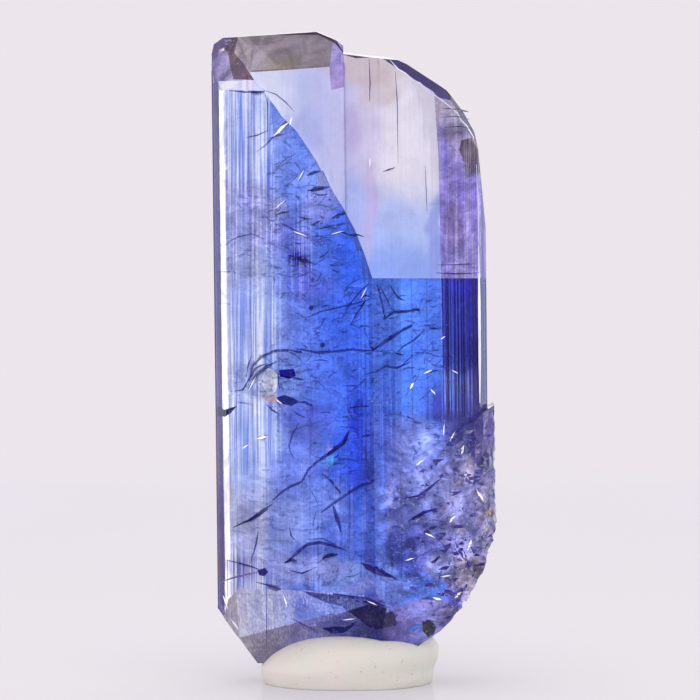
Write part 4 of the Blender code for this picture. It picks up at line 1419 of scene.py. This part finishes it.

    # pale and deep specks, where the face is frosted; the pale specks are painted glints
    frosted = addNode(tree, "ShaderNodeMath", {"operation": "MULTIPLY"}, i0=frost, i1=look["speckShare"])
    for tone in ("pale", "deep"):
        code = look[f"{tone}Speck"]
        spot = addNode(tree, "ShaderNodeMapRange", {"interpolation_type": "SMOOTHSTEP"},
                       Value=specks.outputs[0], **look[f"{tone}Spots"])
        mask = addNode(tree, "ShaderNodeMath", {"operation": "MULTIPLY", "use_clamp": True},
                       i0=spot.outputs[0], i1=frosted.outputs[0])
        dotted = addNode(tree, "ShaderNodeMix", {"data_type": "RGBA"}, Factor=mask.outputs[0], i6=veined,
                         i7=paintOf(code))
        veined = dotted.outputs[2]

    # cloud where healed cracks crowd, the rest left clear, and rough where it is frosted
    milk = addNode(tree, "ShaderNodeMapRange", Value=drift.outputs[0], **look["milk"])
    uneven = addNode(tree, "ShaderNodeMix", Factor=busy, i2=1.0, i3=milk.outputs[0])
    milky = addNode(tree, "ShaderNodeMath", {"operation": "MULTIPLY"}, i0=uneven.outputs[0], i1=cloud)
    clear = addNode(tree, "ShaderNodeMath", {"operation": "SUBTRACT", "use_clamp": True}, i0=1.0,
                    i1=milky.outputs[0])
    rough = addNode(tree, "ShaderNodeMath", {"operation": "MULTIPLY_ADD", "use_clamp": True}, i0=frost,
                    i1=look["frostRoughness"], i2=look["clearRoughness"])

    # raised lines, pits and lumps
    pits = addNode(tree, "ShaderNodeMath", {"operation": "MULTIPLY"}, i0=specks.outputs[0],
                   i1=look["pitHeight"])
    lumps = addNode(tree, "ShaderNodeMath", {"operation": "MULTIPLY_ADD"}, i0=grain.outputs[0],
                    i1=look["lumpHeight"], i2=pits.outputs[0])
    frosty = addNode(tree, "ShaderNodeMath", {"operation": "MULTIPLY"}, i0=lumps.outputs[0], i1=frost)
    relief = addNode(tree, "ShaderNodeMath", {"operation": "MULTIPLY_ADD"}, i0=fine.outputs[0], i1=streak,
                     i2=frosty.outputs[0])
    bump = addNode(tree, "ShaderNodeBump", Height=relief.outputs[0], Distance=look["bumpHeight"],
                   Strength=1.0)

    glass = addNode(tree, "ShaderNodeBsdfPrincipled", Base_Color=veined, Roughness=rough.outputs[0],
                    IOR=crystalValues["ior"], Specular_Tint=crystalValues["reflectionTint"],
                    Transmission_Weight=clear.outputs[0], Normal=bump.outputs[0])
    soak = addNode(tree, "ShaderNodeVolumeAbsorption", Color=(*crystalValues["absorption"], 1),
                   Density=crystalValues["absorptionDensity"])
    addNode(tree, "ShaderNodeOutputMaterial", Surface=glass.outputs[0], Volume=soak.outputs[0])
    return material


crystal.data.materials.append(grownFaceMaterial(faceLook, crystalLook))
print("crystal ready")


# The putty: a pinch kneaded and pressed by hand, its lip squeezed up against the crystal's foot
puttyLook = {
    "centreX": -0.34,
    "halfWidth": 4.15,
    "halfDepth": 3.70,
    "height": 2.72,
    "sink": 0.75,
    "shear": 0.5,
    "squareness": 0.62,
    "flatness": 0.85,
    "dent": 0.025,
    "dentScale": (1.7, 1.2),
    "dentPlace": 4.0,
    "smallDent": 0.010,
    "smallDentScale": (5.0, 4.0),
    "gap": 0.03,
    "weld": 0.004,
    "smoothDegrees": 40,
    "colour": "#d7d1ca",
    "tint": "#cfd1c6",
    "fleckColour": "#a8ac98",
    "driftSize": 1.6 * mm,
    "grainSize": 0.12 * mm,
    "driftTone": {"From_Min": 0.35, "From_Max": 0.7},
    "flecks": {"From_Min": 0.34, "From_Max": 0.30, "To_Max": 0.6},
    "driftHeight": 5.0,
    "bumpHeight": 0.03 * mm,
    "bumpStrength": 0.6,
    "roughness": {"To_Min": 0.48, "To_Max": 0.68},
    "glow": {"Subsurface_Weight": 0.2, "Subsurface_Scale": 0.5 * mm},
}


def buildPutty(look):
    bpy.ops.mesh.primitive_uv_sphere_add(segments=160, ring_count=80, radius=1.0)
    putty = bpy.context.object
    putty.name = "putty_visual"
    for vertex in putty.data.vertices:
        x, y, z = vertex.co
        flat = math.hypot(x, y)
        widen = flat ** look["squareness"] / flat if flat > 1e-6 else 0.0
        wide, tall = look["dentScale"]
        dent = 1 + look["dent"] * noise.noise(Vector((x * wide, y * wide, z * tall + look["dentPlace"])))
        wide, tall = look["smallDentScale"]
        dent += look["smallDent"] * noise.noise(Vector((x * wide, y * wide, z * tall)))
        height = (look["height"] - look["sink"]) * math.copysign(abs(z) ** look["flatness"], z)
        place = Vector((
            look["centreX"] + x * widen * look["halfWidth"] * dent + look["shear"] * max(height, 0.0),
            y * widen * look["halfDepth"] * dent,
            max(height + look["sink"], 0.0),
        ))
        vertex.co = place * mm
    makeActive(putty)
    bpy.ops.object.mode_set(mode="EDIT")
    bpy.ops.mesh.select_all(action="SELECT")
    bpy.ops.mesh.remove_doubles(threshold=look["weld"] * mm)
    bpy.ops.mesh.normals_make_consistent(inside=False)
    bpy.ops.object.mode_set(mode="OBJECT")
    foot = copyOfNode("tanzanite_crystal", "foot_press")
    makeActive(foot)
    bpy.ops.object.mode_set(mode="EDIT")
    bpy.ops.mesh.select_all(action="SELECT")
    bpy.ops.mesh.remove_doubles(threshold=crystalLook["weld"])
    bpy.ops.transform.shrink_fatten(value=look["gap"] * mm)
    bpy.ops.object.mode_set(mode="OBJECT")
    press = putty.modifiers.new("foot", "BOOLEAN")
    press.operation = "DIFFERENCE"
    press.solver = "EXACT"
    press.object = foot
    applyModifiers(putty)
    bpy.data.objects.remove(foot, do_unlink=True)
    makeActive(putty)
    bpy.ops.object.shade_smooth_by_angle(angle=math.radians(look["smoothDegrees"]))
    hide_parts("putty_pad")
    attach(putty, "root")
    return putty


def puttyMaterial(look):
    # mounting putty: chalk-filled rubber, matte with a faint sheen, kneaded so that its tone drifts
    material, tree = newMaterial("kneaded mounting putty")
    where = addNode(tree, "ShaderNodeTexCoord")
    drift = addNode(tree, "ShaderNodeTexNoise", Vector=where.outputs["Object"],
                    Scale=0.5 / look["driftSize"], Detail=4.0)
    grain = addNode(tree, "ShaderNodeTexNoise", Vector=where.outputs["Object"],
                    Scale=0.5 / look["grainSize"], Detail=3.0)
    tone = addNode(tree, "ShaderNodeMapRange", Value=drift.outputs[0], **look["driftTone"])
    colour = addNode(tree, "ShaderNodeMix", {"data_type": "RGBA"}, Factor=tone.outputs[0],
                     i6=paintOf(look["colour"]), i7=paintOf(look["tint"]))
    fleck = addNode(tree, "ShaderNodeMapRange", Value=grain.outputs[0], **look["flecks"])
    flecked = addNode(tree, "ShaderNodeMix", {"data_type": "RGBA"}, Factor=fleck.outputs[0],
                      i6=colour.outputs[2], i7=paintOf(look["fleckColour"]))
    height = addNode(tree, "ShaderNodeMath", {"operation": "MULTIPLY_ADD"}, i0=drift.outputs[0],
                     i1=look["driftHeight"], i2=grain.outputs[0])
    bump = addNode(tree, "ShaderNodeBump", Height=height.outputs[0], Distance=look["bumpHeight"],
                   Strength=look["bumpStrength"])
    rough = addNode(tree, "ShaderNodeMapRange", Value=grain.outputs[0], **look["roughness"])
    body = addNode(tree, "ShaderNodeBsdfPrincipled", Base_Color=flecked.outputs[2],
                   Roughness=rough.outputs[0], Normal=bump.outputs[0], **look["glow"])
    addNode(tree, "ShaderNodeOutputMaterial", Surface=body.outputs[0])
    return material


putty = buildPutty(puttyLook)
putty.data.materials.append(puttyMaterial(puttyLook))
print("putty ready")
